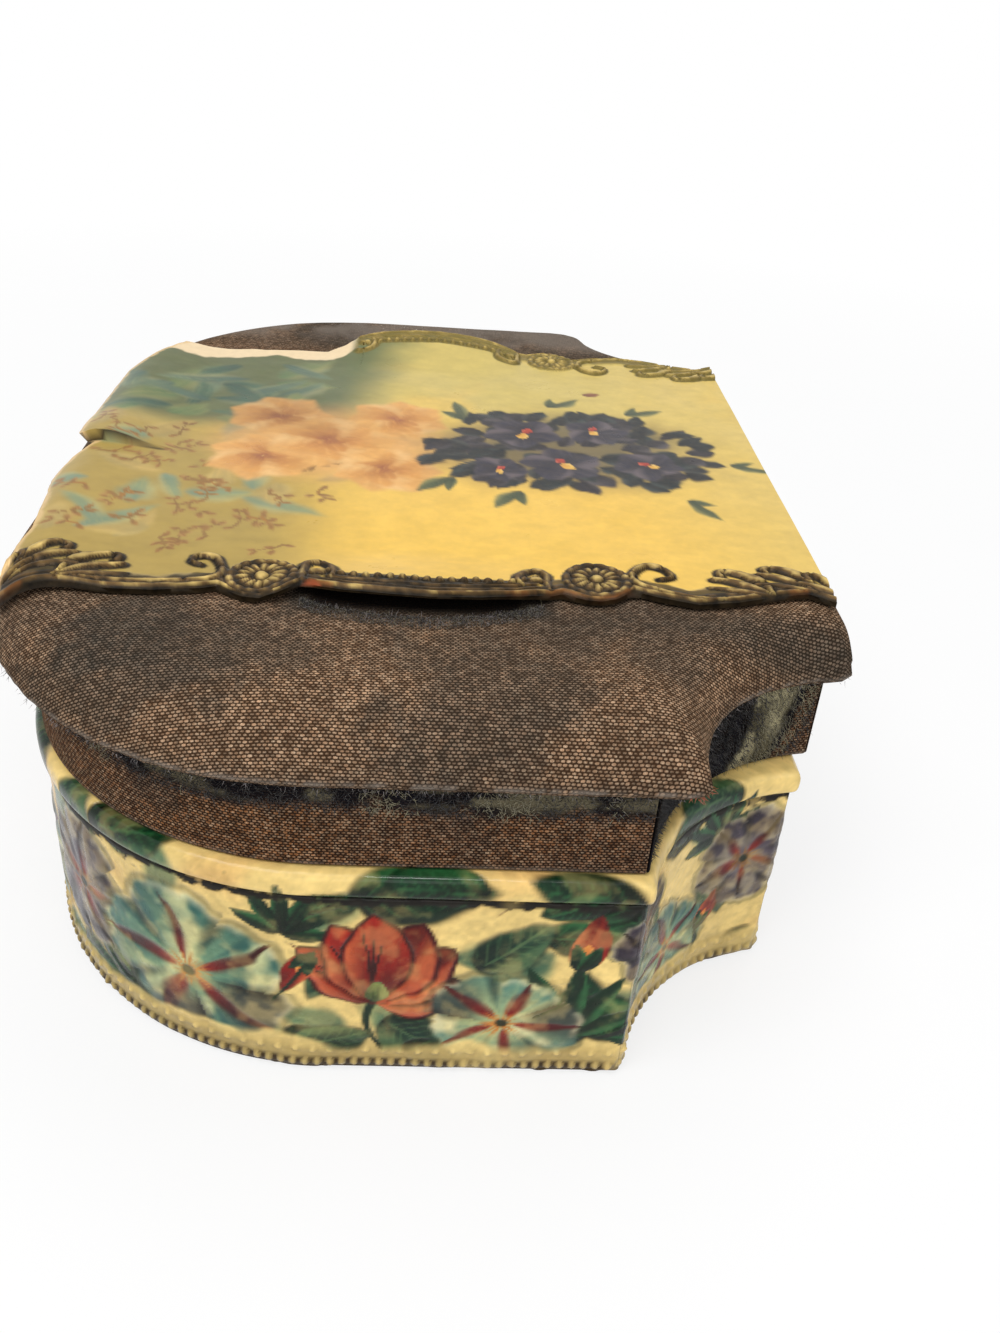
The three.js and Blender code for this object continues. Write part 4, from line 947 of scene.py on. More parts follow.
def panel_art(x, y):
    """The print on the panel in loose strokes: a yellow ground, broad green leaves at the far front, an
    ochre thicket with brown twigs at the near front, pale roses in the middle and a dense cluster of
    dark violets towards the back."""
    art = Canvas(x + 2.4 * stir(x, y, 9, 91), y + 2.4 * stir(x, y, 9, 92), linear("E6BC58"))
    chance = np.random.default_rng(5)
    full_turn = 6.28

    def draw(low, more):
        return low + more * chance.random()

    for colour, share in (
        ("BFB06A", 0.8 * step(26, -30, x + 10 * stir(x, y, 20, 4))),
        ("D4B868", 0.8 * step(20, 54, y - 0.15 * x)),
        ("E5BC5C", 0.5 * step(0.5, 0.7, cloudy(x, y, 18, 6))),
        ("9E884A", 0.9 * step(-4, -24, y + 6 * stir(x, y, 12, 7)) * step(-8, 4, x)),
        ("5F6C48", 0.95 * step(-8, -20, y + 8 * stir(x, y, 14, 9) + 0.2 * x) * step(0, -9, x)),
    ):
        art.tint(colour, share)
    for count, across, up, length, width, shades in (  # leaves: where, how long and how wide, least and more
        (30, (-41, 36), (-51, 30), (9, 9), (2.4, 2.4),
         (("2E5145", "5F7A5E", "9A9C6E"), ("436259", "7A8C6C", "B5B07C"), ("5E7A50", "8C935E", "B9AC6C"))),
        (22, (2, 36), (-50, 36), (8, 6), (2.0, 1.8),
         (("6F8470", "8F9468", "BFAE6E"), ("9C8A56", "BFA05C", "D9BC74"))),
    ):
        for k in range(count):
            art.petal(draw(*across), draw(*up), draw(0, full_turn), draw(*length), draw(*width),
                      *tones(*shades[k % len(shades)]), k, 0, 0.8, 0.7)
    glow = step(17, 6, np.hypot((x - 1) * 0.9, (y + 14) * 0.72) + 4 * stir(x, y, 9, 13))
    art.tint("DDA566", 0.9 * glow)
    for k in range(40):
        cx, cy, lean, size = draw(1, 37), draw(-50, 37), draw(0, full_turn), draw(2.2, 1.8)
        ahead = np.array([math.cos(lean), math.sin(lean)])
        aside = np.array([-ahead[1], ahead[0]]) * (chance.random() - 0.5) * size
        points = np.array([(cx, cy), ahead * size * 0.5 + aside + (cx, cy), ahead * size + (cx, cy)])
        art.stem(points, 0.3, linear("8C6C3C" if k % 3 else "9C7038"), 0)
        for i, turn in ((0, 2.4), (1, 1.1), (1, -1.2), (2, -0.6), (2, 0.7)):
            art.petal(*points[i], lean + turn, draw(1.6, 0.9), 0.7, *tones("7E5A34", "9C7440", "B9925A"),
                      k + i, 0, 0.9, 0.7)
    roses = ((1.0, 7, ("C48A4E", "DDA65E", "EDC588")), (0.74, 6, ("B87C42", "D69B54", "E8BC7C")),
             (0.48, 5, ("A66A38", "C98C4C", "E0AE6C")), (0.26, 4, ("93553A", "B87C42", "D69B54")))
    for cx, cy, size, turn in (
        (-9, -24, 9, 1.2), (8, -24, 9, 2.0), (-10, -5, 9, 0.8), (10, -6, 9, 0.1), (0, -15, 11, 0.3),
    ):
        for ring, count, shade in roses:
            for k in range(count):
                lean = turn + 2 * math.pi * (k + 0.37 * ring * 7) / count
                art.petal(cx, cy, lean, size * ring, size * ring * 0.5, *tones(*shade), k + 3, 0, 0.95, 0.5)
    gloom = step(19, 7, np.hypot((x + 1) * 0.95, (y - 22) * 0.68) + 9 * stir(x, y, 8, 17))
    art.tint("4F4B40", 0.85 * gloom)
    dark = (("14171A", "25292B", "4C4F4C"), ("1A191E", "2E2C32", "5F585A"), ("11161A", "20282A", "434C4A"))
    for k in range(150):
        lean, far = draw(0, full_turn), 14.5 * math.sqrt(chance.random())
        cx, cy = -1 + 0.95 * far * math.cos(lean), 22 + 1.45 * far * math.sin(lean)
        art.petal(cx, cy, draw(lean, 2) - 1, draw(4, 3), draw(1.8, 1),
                  *tones(*dark[k % 3]), k, 0, 0.95, 0.45)
    violet = tones("20212A", "3A3843", "75696C")
    for cx, cy, size, turn in (
        (-7, 15, 6.5, 0.1), (5, 21, 7, 0.9), (-9, 27, 6, 0.5), (4, 34, 6, 1.4), (8, 11, 5, 0.2),
    ):
        for k in range(5):
            art.petal(cx, cy, turn + 2 * math.pi * k / 5, size, size * 0.5, *violet, k + int(size),
                      0, 0.95, 0.4)
        art.petal(cx, cy, turn, size * 0.34, size * 0.14, *tones("C98A3C", "DDB255", "EBCB7E"), 3, 0)
        art.petal(cx, cy, turn + 2.5, size * 0.34, size * 0.13, *tones("8E2F28", "B5483A", "D9765A"), 5, 0)
    sprig = tones("2E3A30", "5C6444", "94905C")
    for cx, cy, lean in (
        (-19, 20, 2.4), (16, 38, 0.6), (16, 14, -0.6), (-17, 33, 2.0), (2, 47, 1.3), (-12, 6, 3.4),
        (12, 4, 5.4),
    ):
        art.petal(cx, cy, lean, 8, 1.6, *sprig, 4, 0, 0.8, 0.5)
        art.petal(cx, cy, lean + 0.7, 5, 1.2, *sprig, 5, 0, 0.8, 0.5)
    art.petal(-27, 26, 1.8, 4, 1.3, *tones("6A3F30", "8A5A3C", "B58A58"), 5, 0, 0.9, 0.5)
    shaded = 0.26 * step(-4, -22, y) * step(4, -8, x)
    art.rgb *= (1 + 0.2 * stir(x, y * 0.6, 1.6, 21, 3) - shaded)[..., None]
    return art


# ---- What a user may change

def size_option(name, description, default, low, high):
    return FloatProperty(name=name, description=description + ", in mm", default=default, min=low, max=high)


def colour_option(name, description, default):
    return FloatVectorProperty(
        name=name, description=description, subtype="COLOR", default=linear(default), min=0, max=1
    )


class JewelryBoxSizes(bpy.types.PropertyGroup):
    thread_dash: size_option("Thread dash", "Length of a light thread of the ground weave", 0.62, 0.2, 3)
    thread_row: size_option("Thread row", "Spacing of the rows of threads", 0.38, 0.1, 3)
    bead_pitch: size_option("Bead pitch", "Spacing of the embossed beads of the foot", 2.0, 0.5, 6)
    relief: size_option("Border relief", "Height of the panel's border over its sheet", 1.0, 0.2, 2)
    bow_lift: size_option("Bow lift", "How far the right bow has come away from the cloth", 1.9, 0, 2)
    far_lift: size_option("Far bow lift", "How far the left bow has come away from the cloth", 2.1, 0, 2.3)
    front_lift: size_option("Front lift", "How far the front edge stands off the cloth", 1.3, 0, 4)
    wall_step: size_option("Wall step", "Spacing of the points of the painted walls", 0.3, 0.15, 2)


class JewelryBoxColours(bpy.types.PropertyGroup):
    cream: colour_option("Cream", "Ground of the painted celluloid", "E6D29C")
    cloth: colour_option("Cloth", "Threads of the worn cloth", "C09876")
    skirt: colour_option("Skirt cloth", "Threads of the cloth round the skirt", "9C6840")
    ground: colour_option("Cloth ground", "Depths of the worn cloth", "3A281A")
    # the colour of the soil patches of the lid's cloth, and of the painted shade under the lifted bows
    soil_and_shade: colour_option("Soil", "Dark patches of the cloth", "25241F")
    bronze: colour_option("Bronze", "Hollows of the panel's border", "120E08")
    gold: colour_option("Gold", "Heights of the panel's border", "C2A764")
    satin: colour_option("Satin", "Lining and pads", "CFB98E")


def settings():
    return bpy.context.scene.jewelry_box_sizes, bpy.context.scene.jewelry_box_colours


# ---- Operators

class JEWELRYBOX_OT_stage(bpy.types.Operator):
    """Sets the camera at the photograph's viewing angle, a pale floor, soft lamps and a white surround"""
    bl_idname = "jewelrybox.stage"
    bl_label = "Stage"

    def execute(self, context):
        scene = context.scene
        scene.view_settings.view_transform = "Standard"
        self.camera(scene, (176.7, 0.96, 126.4), (4.18, 32.19, 4.47), 32.54)
        self.floor(3000, -0.02)
        for name, place, size, power in (
            ("key", (0.30, -0.30, 0.75), 0.4, 3.6), ("fill", (0.6, 0.45, 0.5), 0.5, 1.7),
            ("over", (-0.30, 0.05, 0.8), 0.6, 2.6), ("low", (0.7, -0.1, 0.22), 0.3, 0.5),
            ("rim", (0.55, 0.02, 0.72), 0.12, 0.9),
        ):
            lamp = bpy.data.lights.new(name, "AREA")
            lamp.size, lamp.energy = size, power
            made = bpy.data.objects.new(name, lamp)
            made.location = place
            made.rotation_euler = (Vector((0, 0, 0.03)) - Vector(place)).to_track_quat("-Z", "Y").to_euler()
            scene.collection.objects.link(made)

        scene.world = bpy.data.worlds.new("surround")
        s = Shading("surround", scene.world)
        lit = s.add("Background", {"Color": (0.95, 0.97, 1), "Strength": 0.26}).outputs[0]
        white = s.add("Background", {"Color": (1, 1, 1), "Strength": 1}).outputs[0]
        s.end(s.add("MixShader", {0: s.seen(), 1: lit, 2: white}).outputs[0], "World")
        return {"FINISHED"}

    def camera(self, scene, place, angles, focal):
        """A camera at a place in millimetres, by its yaw, pitch and roll in degrees and its focal length."""
        yaw, pitch, roll = (math.radians(a) for a in angles)
        ahead = Vector((-math.cos(yaw) * math.cos(pitch), math.sin(yaw) * math.cos(pitch), -math.sin(pitch)))
        level = Vector((math.sin(yaw), math.cos(yaw), 0))
        above = level.cross(ahead)
        right = level * math.cos(roll) + above * math.sin(roll)
        up = above * math.cos(roll) - level * math.sin(roll)
        lens = bpy.data.cameras.new("camera")
        lens.lens, lens.sensor_width, lens.sensor_fit = focal, 36, "AUTO"
        lens.clip_start, lens.clip_end = 0.005, 20
        made = bpy.data.objects.new("camera", lens)
        turn = Matrix((right, up, -ahead)).transposed().to_4x4()
        made.matrix_world = Matrix.Translation(Vector(place) * MM) @ turn
        scene.collection.objects.link(made)
        scene.camera = made

    def floor(self, half, low):
        """A floor that keeps the box's shadow near it and is white to the camera further out."""
        floor = piece("floor", [[(x, y, low) for x in (-half, half)] for y in (-half, half)])
        s = Shading("floor")
        white = s.add("Emission", {"Color": (1, 1, 1), "Strength": 1.0}).outputs[0]
        tone = s.ramp(s.noise(40, 3), 0, 1, (0.84, 0.88))
        grey = s.add("CombineColor", {0: tone, 1: tone, 2: tone}).outputs[0]
        matt = s.add("BsdfDiffuse", {"Color": grey}).outputs[0]
        away = s.add("VectorMath", {0: s.place()}, operation="LENGTH").outputs["Value"]
        keep = s.times(s.seen(), s.ramp(away, 0.1, 0.4, (0.76, 1.0)))
        s.end(s.add("MixShader", {0: keep, 1: matt, 2: white}).outputs[0])
        floor.data.materials.append(s.material)


class JEWELRYBOX_OT_walls(bpy.types.Operator):
    """Makes the four painted and embossed celluloid sheets of the base"""
    bl_idname = "jewelrybox.walls"
    bl_label = "Painted walls"

    def execute(self, context):
        sizes, colours = settings()
        material = celluloid_finish("painted_celluloid")
        h = np.arange(WALL_LOW, WALL_TOP + 0.01, sizes.wall_step * 0.96)
        h[-1] = WALL_TOP
        thick = 0.7
        for name, x, y, normal, run, (first, last, half) in stretches(BASE, sizes.wall_step, 0.02):
            s, tall = np.meshgrid(run, h)
            painted = np.where(s > half, s - 2 * half, s)
            art = stain(wall_art(painted, tall, tuple(colours.cream)), painted, tall, sizes.bead_pitch)
            out = art.rise * step(0, 0.8, np.minimum(s - first, last - s))
            out = out - 0.25 * step(28.9, WALL_TOP, tall)
            out = np.concatenate([out, np.full((2, len(run)), -thick)])
            tall = np.concatenate([tall, [[WALL_TOP] * len(run), [WALL_LOW] * len(run)]])
            grid = np.stack([x + normal[:, 0] * out, y + normal[:, 1] * out, tall], -1)
            paint = {key: np.concatenate([values, values[-1:], values[:1]])
                     for key, values in (("paint", art.rgb), ("wash", art.wash))}
            made = piece("painted_wall_" + name, grid, wrap=(True, False), ends=True, paint=paint, sharp=70)
            dress(made, "base", "celluloid", material, "celluloid_" + name)
        return {"FINISHED"}


class JEWELRYBOX_OT_rim(bpy.types.Operator):
    """Makes the rolled celluloid rim, painted like the walls and let in behind the hinges"""
    bl_idname = "jewelrybox.rim"
    bl_label = "Rim"

    def execute(self, context):
        sizes, colours = settings()
        counts = counts_for(sizes.wall_step * 1.25)
        run = along(half_outline(BASE, 0, counts))
        profile = np.array([  # how far out, height
            (-0.7, RIM_FOOT), (0.25, RIM_FOOT), (0.5, 29.7), (0.68, 29.95), (0.78, 30.4), (0.8, 30.9),
            (0.8, 31.4), (0.76, 31.85), (0.66, 32.2), (0.5, 32.5), (0.28, 32.74), (0.0, 32.9),
            (-0.35, 32.98), (-0.8, RIM_TOP), (-1.5, RIM_TOP), (-2.6, RIM_TOP), (-4.0, RIM_TOP),
            (-4.0, 32.4), (-0.7, 32.4),
        ])
        rings = []
        for out, z in profile:
            ring = outline(BASE, -out, counts)
            if out > 0:
                behind = (ring[:, 1] > 50) & (np.abs(np.abs(ring[:, 0]) - HINGE_PLACE) < 10.3)
                ring[behind, 1] = BASE[2]
            rings.append(at_height(ring, z))
        # painted by the length run up and over its outside; the two inner corners are out of sight
        height = np.concatenate([[RIM_FOOT], RIM_FOOT + along(profile[1:17]), [40, 29]])
        s, h = np.meshgrid(np.concatenate([-run[::-1], run[1:-1]]), height)
        art = stain(wall_art(s, h, tuple(colours.cream)), s, h, sizes.bead_pitch)
        paint = {"paint": art.rgb, "wash": art.wash}
        made = piece("painted_rim", rings, wrap=(True, True), paint=paint, sharp=50)
        dress(made, "base", "celluloid", celluloid_finish("rim_celluloid", 0.2), "rim_band")
        return {"FINISHED"}


SOILED = (  # places of the lid's cloth: x, y, reach, strength
    (60, -26, 11, 0.75), (56, -33, 11, 0.85), (60, -14, 8, 0.6), (61, 6, 9, 0.55), (66, 14, 8, 0.6),
    (58, 30, 9, 0.5), (66, -34, 7, 0.6), (70, 8, 9, 0.55), (-58, -20, 12, 0.8), (-62, 12, 10, 0.7),
    (0, -54, 14, 0.7), (30, 54, 12, 0.6),
)


def soil_and_shade_on_lid(x, y, edge):
    """Dark patches of the lid's cloth: clouds, handled places, a dirty band by the panel, a darker band along
    the flange's edge, and a painted shade under the lifted bows. edge is how far a place is from the flange's
    edge."""
    clouds = step(0.50, 0.60, cloudy(x, y, 26, 2) + 0.22 * stir(x, y, 3, 18))
    spots = 0
    for cx, cy, reach, strength in SOILED:
        d = np.hypot(x - cx, y - cy) + 9 * stir(x, y, 7, 12) + 4 * stir(x, y, 1.6, 20, 3)
        spots = np.maximum(spots, strength * step(reach, reach * 0.5, d))
    by_panel = (0.4 + 0.35 * step(8, 22, y)) * step(6, 1, np.abs(np.abs(x) - 51) + 3 * stir(x, y, 4, 14))
    # a painted shade: the cloth under the lifted bows, and just beside their edge, is darkened all over
    by_panel = np.maximum(by_panel, step(52.6, 51.4, np.abs(x)) * step(19, 15, np.abs(y)))
    return np.clip(np.maximum.reduce([0.6 * clouds, spots, by_panel, 0.35 * step(2.2, 0.4, edge)]), 0, 1)


class JEWELRYBOX_OT_lid_cloth(bpy.types.Operator):
    """Makes the cloth over the lid: flat on top, rolled down to the flange and turned under its edge"""
    bl_idname = "jewelrybox.lid_cloth"
    bl_label = "Lid cloth"

    def execute(self, context):
        sizes, colours = settings()
        thick = 0.8
        counts = counts_for(0.62)
        top, middle = outline(TOP, 0, counts), np.array([0, 2.0])
        flat_shares, roll_rings = (0.04, 0.35, 0.6, 0.72, 0.78, 0.83, 0.88, 0.93, 0.97), 26
        hem = ((0.12, 45.95), (0.3, 45.62), (0.62, 45.4), (1.0, 45.3), (1.45, 45.32), (1.6, 45.6))
        grid = np.array([
            *(at_height(middle + (top - middle) * share, PLUSH_TOP) for share in flat_shares),
            *(self.roll(t * ROLL, 0, counts) for t in np.linspace(0, 1, roll_rings)),
            *(at_height(outline(FLANGE, inset, counts), z) for inset, z in hem),
            *(self.roll(t * ROLL, thick, counts) for t in np.linspace(1, 0, 7)),
            *(at_height(middle + (top - middle) * share, PLUSH_TOP - thick) for share in (0.6, 0.04)),
        ])
        first = len(flat_shares)
        outer = first + roll_rings
        under = outer + len(hem)
        row = np.arange(len(grid))[:, None]

        # the cloth laid flat: places move out by what the roll takes up
        steps = np.linalg.norm(np.diff(grid, axis=0), axis=2)
        run = np.concatenate([np.zeros((1, grid.shape[1])), np.cumsum(steps, 0)])
        way = grid[outer - 1, :, :2] - grid[first, :, :2]
        way /= np.linalg.norm(way, axis=1)[:, None]
        level = np.linalg.norm(grid[..., :2] - grid[first, :, :2], axis=-1)
        flat = grid[..., :2] + np.where(row < first, 0, run - run[first] - level)[..., None] * way
        flat[under:] = grid[under:, :, :2]
        x, y = flat[..., 0], flat[..., 1]
        edge = np.abs(run[outer - 1] - run)

        grid[..., 2] += np.where(row < under, 0.16 * stir(x, y, 9, 4) * step(0, 6, edge), 0)
        ragged = 0.35 * stir(x * 1.3, y * 1.3, 2.2, 6, 3) * (row >= outer - 4) * (row < under)
        normal = outwards(grid[outer - 1, :, :2])
        grid[..., :2] += normal * ragged[..., None] - normal * (0.15 * (ragged != 0))[..., None]

        uv = np.concatenate([flat, flat[:, :1]], 1)[..., ::-1]
        wear_and_sheen = 0.8 * step(0.45, 0.05, edge) * step(0.3, 0.62, cloudy(x, y, 1.0, 19, 3))
        # a painted sheen: the far side of the cloth, past the left border, is made paler in patches, and is
        # kept with the fray
        far = 0.75 * step(-50, -58, grid[..., 0]) * step(0.2, 0.6, cloudy(x, y, 5, 22, 3))
        # a painted shade: along the edge of the lifted bows the cloth is painted near black
        side, ahead = np.abs(grid[..., 0]), grid[..., 1] + 0.5 * stir(grid[..., 0], grid[..., 1], 1.2, 24, 3)
        bare = np.interp(ahead, *NEAR_EDGE.T) + 0.5
        gap = step(bare + 0.4, bare - 0.2, side) * step(40, 42, side) * step(16.0, 14.5, np.abs(ahead - 0.6))
        paint = {"soil_and_shade": soil_and_shade_on_lid(x, y, edge), "wear_and_sheen": np.maximum(wear_and_sheen, far), "pile_and_shade": gap,
                 "paint": np.broadcast_to(linear("08080A"), grid.shape)}
        cloth = piece("lid_cloth", grid, wrap=(False, True), ends=True, uv=uv, sharp=80, paint=paint)
        shades = (tuple(c) for c in (colours.cloth, colours.ground, colours.soil_and_shade))
        dress(cloth, "lid", "plush", weave_finish("lid_weave", sizes, *shades), "lid_plush")
        return {"FINISHED"}

    def roll(self, angle, depth, counts):
        """A ring of the roll: between the top's outline and the flange's by the sine of its angle, and
        down by its cosine, at a depth below the cloth."""
        out = math.sin(angle) / math.sin(ROLL)
        down = (1 - math.cos(angle)) / (1 - math.cos(ROLL))
        top, edge = (outline(plan, depth * math.sin(angle), counts) for plan in (TOP, FLANGE))
        z = PLUSH_TOP - down * (PLUSH_TOP - FLANGE_EDGE) - depth * math.cos(angle)
        return at_height(top + (edge - top) * out, z)


class JEWELRYBOX_OT_skirt_cloth(bpy.types.Operator):
    """Makes the four strips of cloth round the lid's skirt, with pile left in the coves"""
    bl_idname = "jewelrybox.skirt_cloth"
    bl_label = "Skirt cloth"

    def execute(self, context):
        sizes, colours = settings()
        shades = (tuple(colours.skirt), linear("24160E"), linear("17120F"))
        material = weave_finish("skirt_weave", sizes, *shades)
        hem, rows = SKIRT_LOW + np.array([0.1, 0, 0.04, 0.25]), 22
        z = np.concatenate([hem, np.linspace(SKIRT_LOW + 0.8, SKIRT_TOP, rows), [SKIRT_TOP, SKIRT_LOW + 0.4]])
        inset = np.concatenate([[0.7, 0.4, 0.12, 0.0], np.zeros(rows), [0.75, 0.75]])[:, None]
        for name, x, y, normal, run, (first, last, _) in stretches(SKIRT, 0.6, 0.16):
            s, tall = np.meshgrid(run, z)
            out = 0.12 * stir(s, tall, 8, 33) * (inset == 0) - inset
            grid = np.stack([x + normal[:, 0] * out, y + normal[:, 1] * out, tall], -1)
            paint = self.wear(name, s, tall)
            made = piece("skirt_strip_" + name, grid, wrap=(True, False), ends=True, sharp=80, paint=paint,
                         uv=np.stack([s, tall], -1))
            dress(made, "lid", "plush", material, "skirt_cloth_" + name)
        return {"FINISHED"}

    def wear(self, name, s, tall):
        """Soil, fray and pile of a strip, which is also darker under the flange and along the hem: pile lasts
        under the flange, and in the coves.
        """
        under = step(40.7, 42.6, tall + 2.5 * stir(s, tall, 6, 35))
        clouds = 0.55 * step(0.5, 0.72, cloudy(s, tall, 15, 37))
        # darker in patches, under the flange and along the hem
        soil_and_shade = np.clip(np.maximum.reduce([0.5 * under, 0.3 * step(34.6, 33.4, tall), clouds]), 0, 1)
        far = cloudy(s, tall, 3.2, 43, 3)
        paint = np.array(linear("0B0D14")) * (0.5 + far)[..., None]
        pale = step(0.50, 0.64, cloudy(s * 0.35, tall, 1.6, 45, 3)) * step(41.2, 43.2, tall)
        paint = towards(paint, linear("756E58"), 0.8 * pale)
        pile_and_shade = 0.95 * under * step(0.28, 0.46, far + 0.12 * step(42, 44, tall))
        if "cove" in name:
            share = (np.abs(s) - COVE_START) / COVE_RUN + 0.16 * stir(s, tall * 0.6, 4, 47, 3)
            share = share - 0.008 * (tall - 39)
            khaki = step(0.74, 0.79, share) * step(0.93, 0.89, share)
            wisp = step(0.3, 0.7, cloudy(s, tall * 0.4, 1.6, 49, 3))
            paint = np.array(linear("14161C")) * (0.2 + 1.2 * wisp)[..., None]
            paint = towards(paint, np.array(linear("9A9274")) * (0.25 + 0.95 * wisp)[..., None], khaki)
            pile_and_shade = step(0.985, 0.96, share)
        wear_and_sheen = 0.6 * step(34.0, 33.2, tall) * step(0.35, 0.6, cloudy(s, tall, 1.5, 41, 3))
        return {"soil_and_shade": soil_and_shade, "wear_and_sheen": wear_and_sheen, "pile_and_shade": pile_and_shade, "paint": paint}


class JEWELRYBOX_OT_fibres(bpy.types.Operator):
    """Makes the flange's frayed threads, and the pile left in the coves, under the flange, by the bow"""
    bl_idname = "jewelrybox.fibres"
    bl_label = "Frayed threads and pile"

    def execute(self, context):
        chance = np.random.default_rng(23)
        finish = fibre_finish("loose_fibres")
        counts = counts_for(0.5)
        edges = np.concatenate([[0], np.cumsum(counts)])
        grey, navy, khaki, rust = tones("9A9292", "0C0F17", "A39B7C", "A8512C")

        def spread(plan, inset, low, high, n, spans=SPANS):
            """Places scattered over a wall that follows a plan, with the wall's normals there."""
            right = half_outline(plan, inset, counts)
            first, last = edges[SPANS.index(spans[0])], edges[SPANS.index(spans[-1]) + 1]
            at = first + (last - first) * chance.random(n)
            line, normal = right[first : last + 1], outwards(right, closed=False)[first : last + 1]
            index = np.arange(first, last + 1)
            x, y, u, v = (np.interp(at, index, values) for values in (*line.T, *normal.T))
            side = np.where(chance.random(n) < 0.5, -1, 1)
            z = low + (high - low) * chance.random(n)
            return np.column_stack([side * x, y, z]), np.column_stack([side * u, v, 0 * u])

        def tuft(name, place, normal, lean, length, thick, colour, bend=0.5):
            way = normal + lean + 0.5 * chance.normal(size=normal.shape)
            length = length * (0.5 + chance.random(len(place)))
            made = hairs(name, place, way, length, thick, colour, len(place), bend)
            return dress(made, "lid", "plush", finish)

        root, normal = spread(FLANGE, 0.3, 45.4, 45.8, 700)
        shade = chance.random((len(root), 1))
        tuft("flange_fray", root, normal, (0, 0, -0.9), 0.5, 0.035, grey * (0.35 + 0.6 * shade), 0.9)

        root, normal = spread(FLANGE, 0.3, 45.5, 46.0, 60, ("corner",))
        tuft("corner_fray", root, normal, (0, 0.2, -0.4), 0.7, 0.07, np.tile(rust, (60, 1)), 0.9)

        root, normal = spread(SKIRT, -0.02, 41.2, 45.4, 5200, ("arc", "side"))
        dark = chance.random((len(root), 1))
        lean = np.column_stack([0 * dark, 1.3 * chance.normal(size=len(root)), np.full(len(root), -0.6)])
        navy_here = cloudy(root[:, :1], root[:, 1:2], 4, 81) + 0.25 * dark < 0.66
        tone = np.where(navy_here, navy * (0.7 + dark), khaki * (0.5 + 0.5 * dark))
        tuft("flange_pile", root, normal, lean, 0.8, 0.05, tone)

        root, normal = spread(SKIRT, -0.02, 33.7, 45.2, 7000, ("cove",))
        share = np.interp(root[:, 1], (27.7, 29.8, 33.5, 38.8, 45.2, 52.4), (0, 0.2, 0.4, 0.6, 0.8, 1.0))
        run = share * COVE_RUN
        share += 0.16 * stir(run + COVE_START, root[:, 2] * 0.6, 4, 47, 3) - 0.008 * (root[:, 2] - 39)
        dark = chance.random((len(root), 1))
        wisp = step(0.3, 0.7, cloudy(share * COVE_RUN, root[:, 2] * 0.4, 1.6, 49, 3))[:, None]
        pale = ((share > 0.76) & (share < 0.91))[:, None]
        tone = np.where(pale, khaki * (0.15 + 0.5 * dark + 0.6 * wisp),
                        navy * (0.4 + 0.6 * dark + 0.8 * wisp))
        keep = (share < 0.96) & (share > 0.05)
        tuft("cove_pile", root[keep], normal[keep], (0, 0, -0.5), 0.7, 0.055, tone[keep])

        count = 2600
        y = -14.5 + 29.5 * chance.random(count)
        x = np.interp(y, *NEAR_EDGE.T) + 0.2 + 2.6 * chance.random(count) ** 1.4
        up = np.tile([0.5, 0, 1.0], (count, 1))
        dark = chance.random((count, 1))
        tone = np.where(dark < 0.62, navy + 0.01, np.where(dark < 0.84, khaki * 0.7, grey * 1.2))
        root = at_height(np.column_stack([x, y]), PLUSH_TOP - 0.02)
        tuft("bow_pile", root, up, (0.3, 0, 0), 0.6, 0.032, tone * (0.4 + 0.7 * dark))
        return {"FINISHED"}


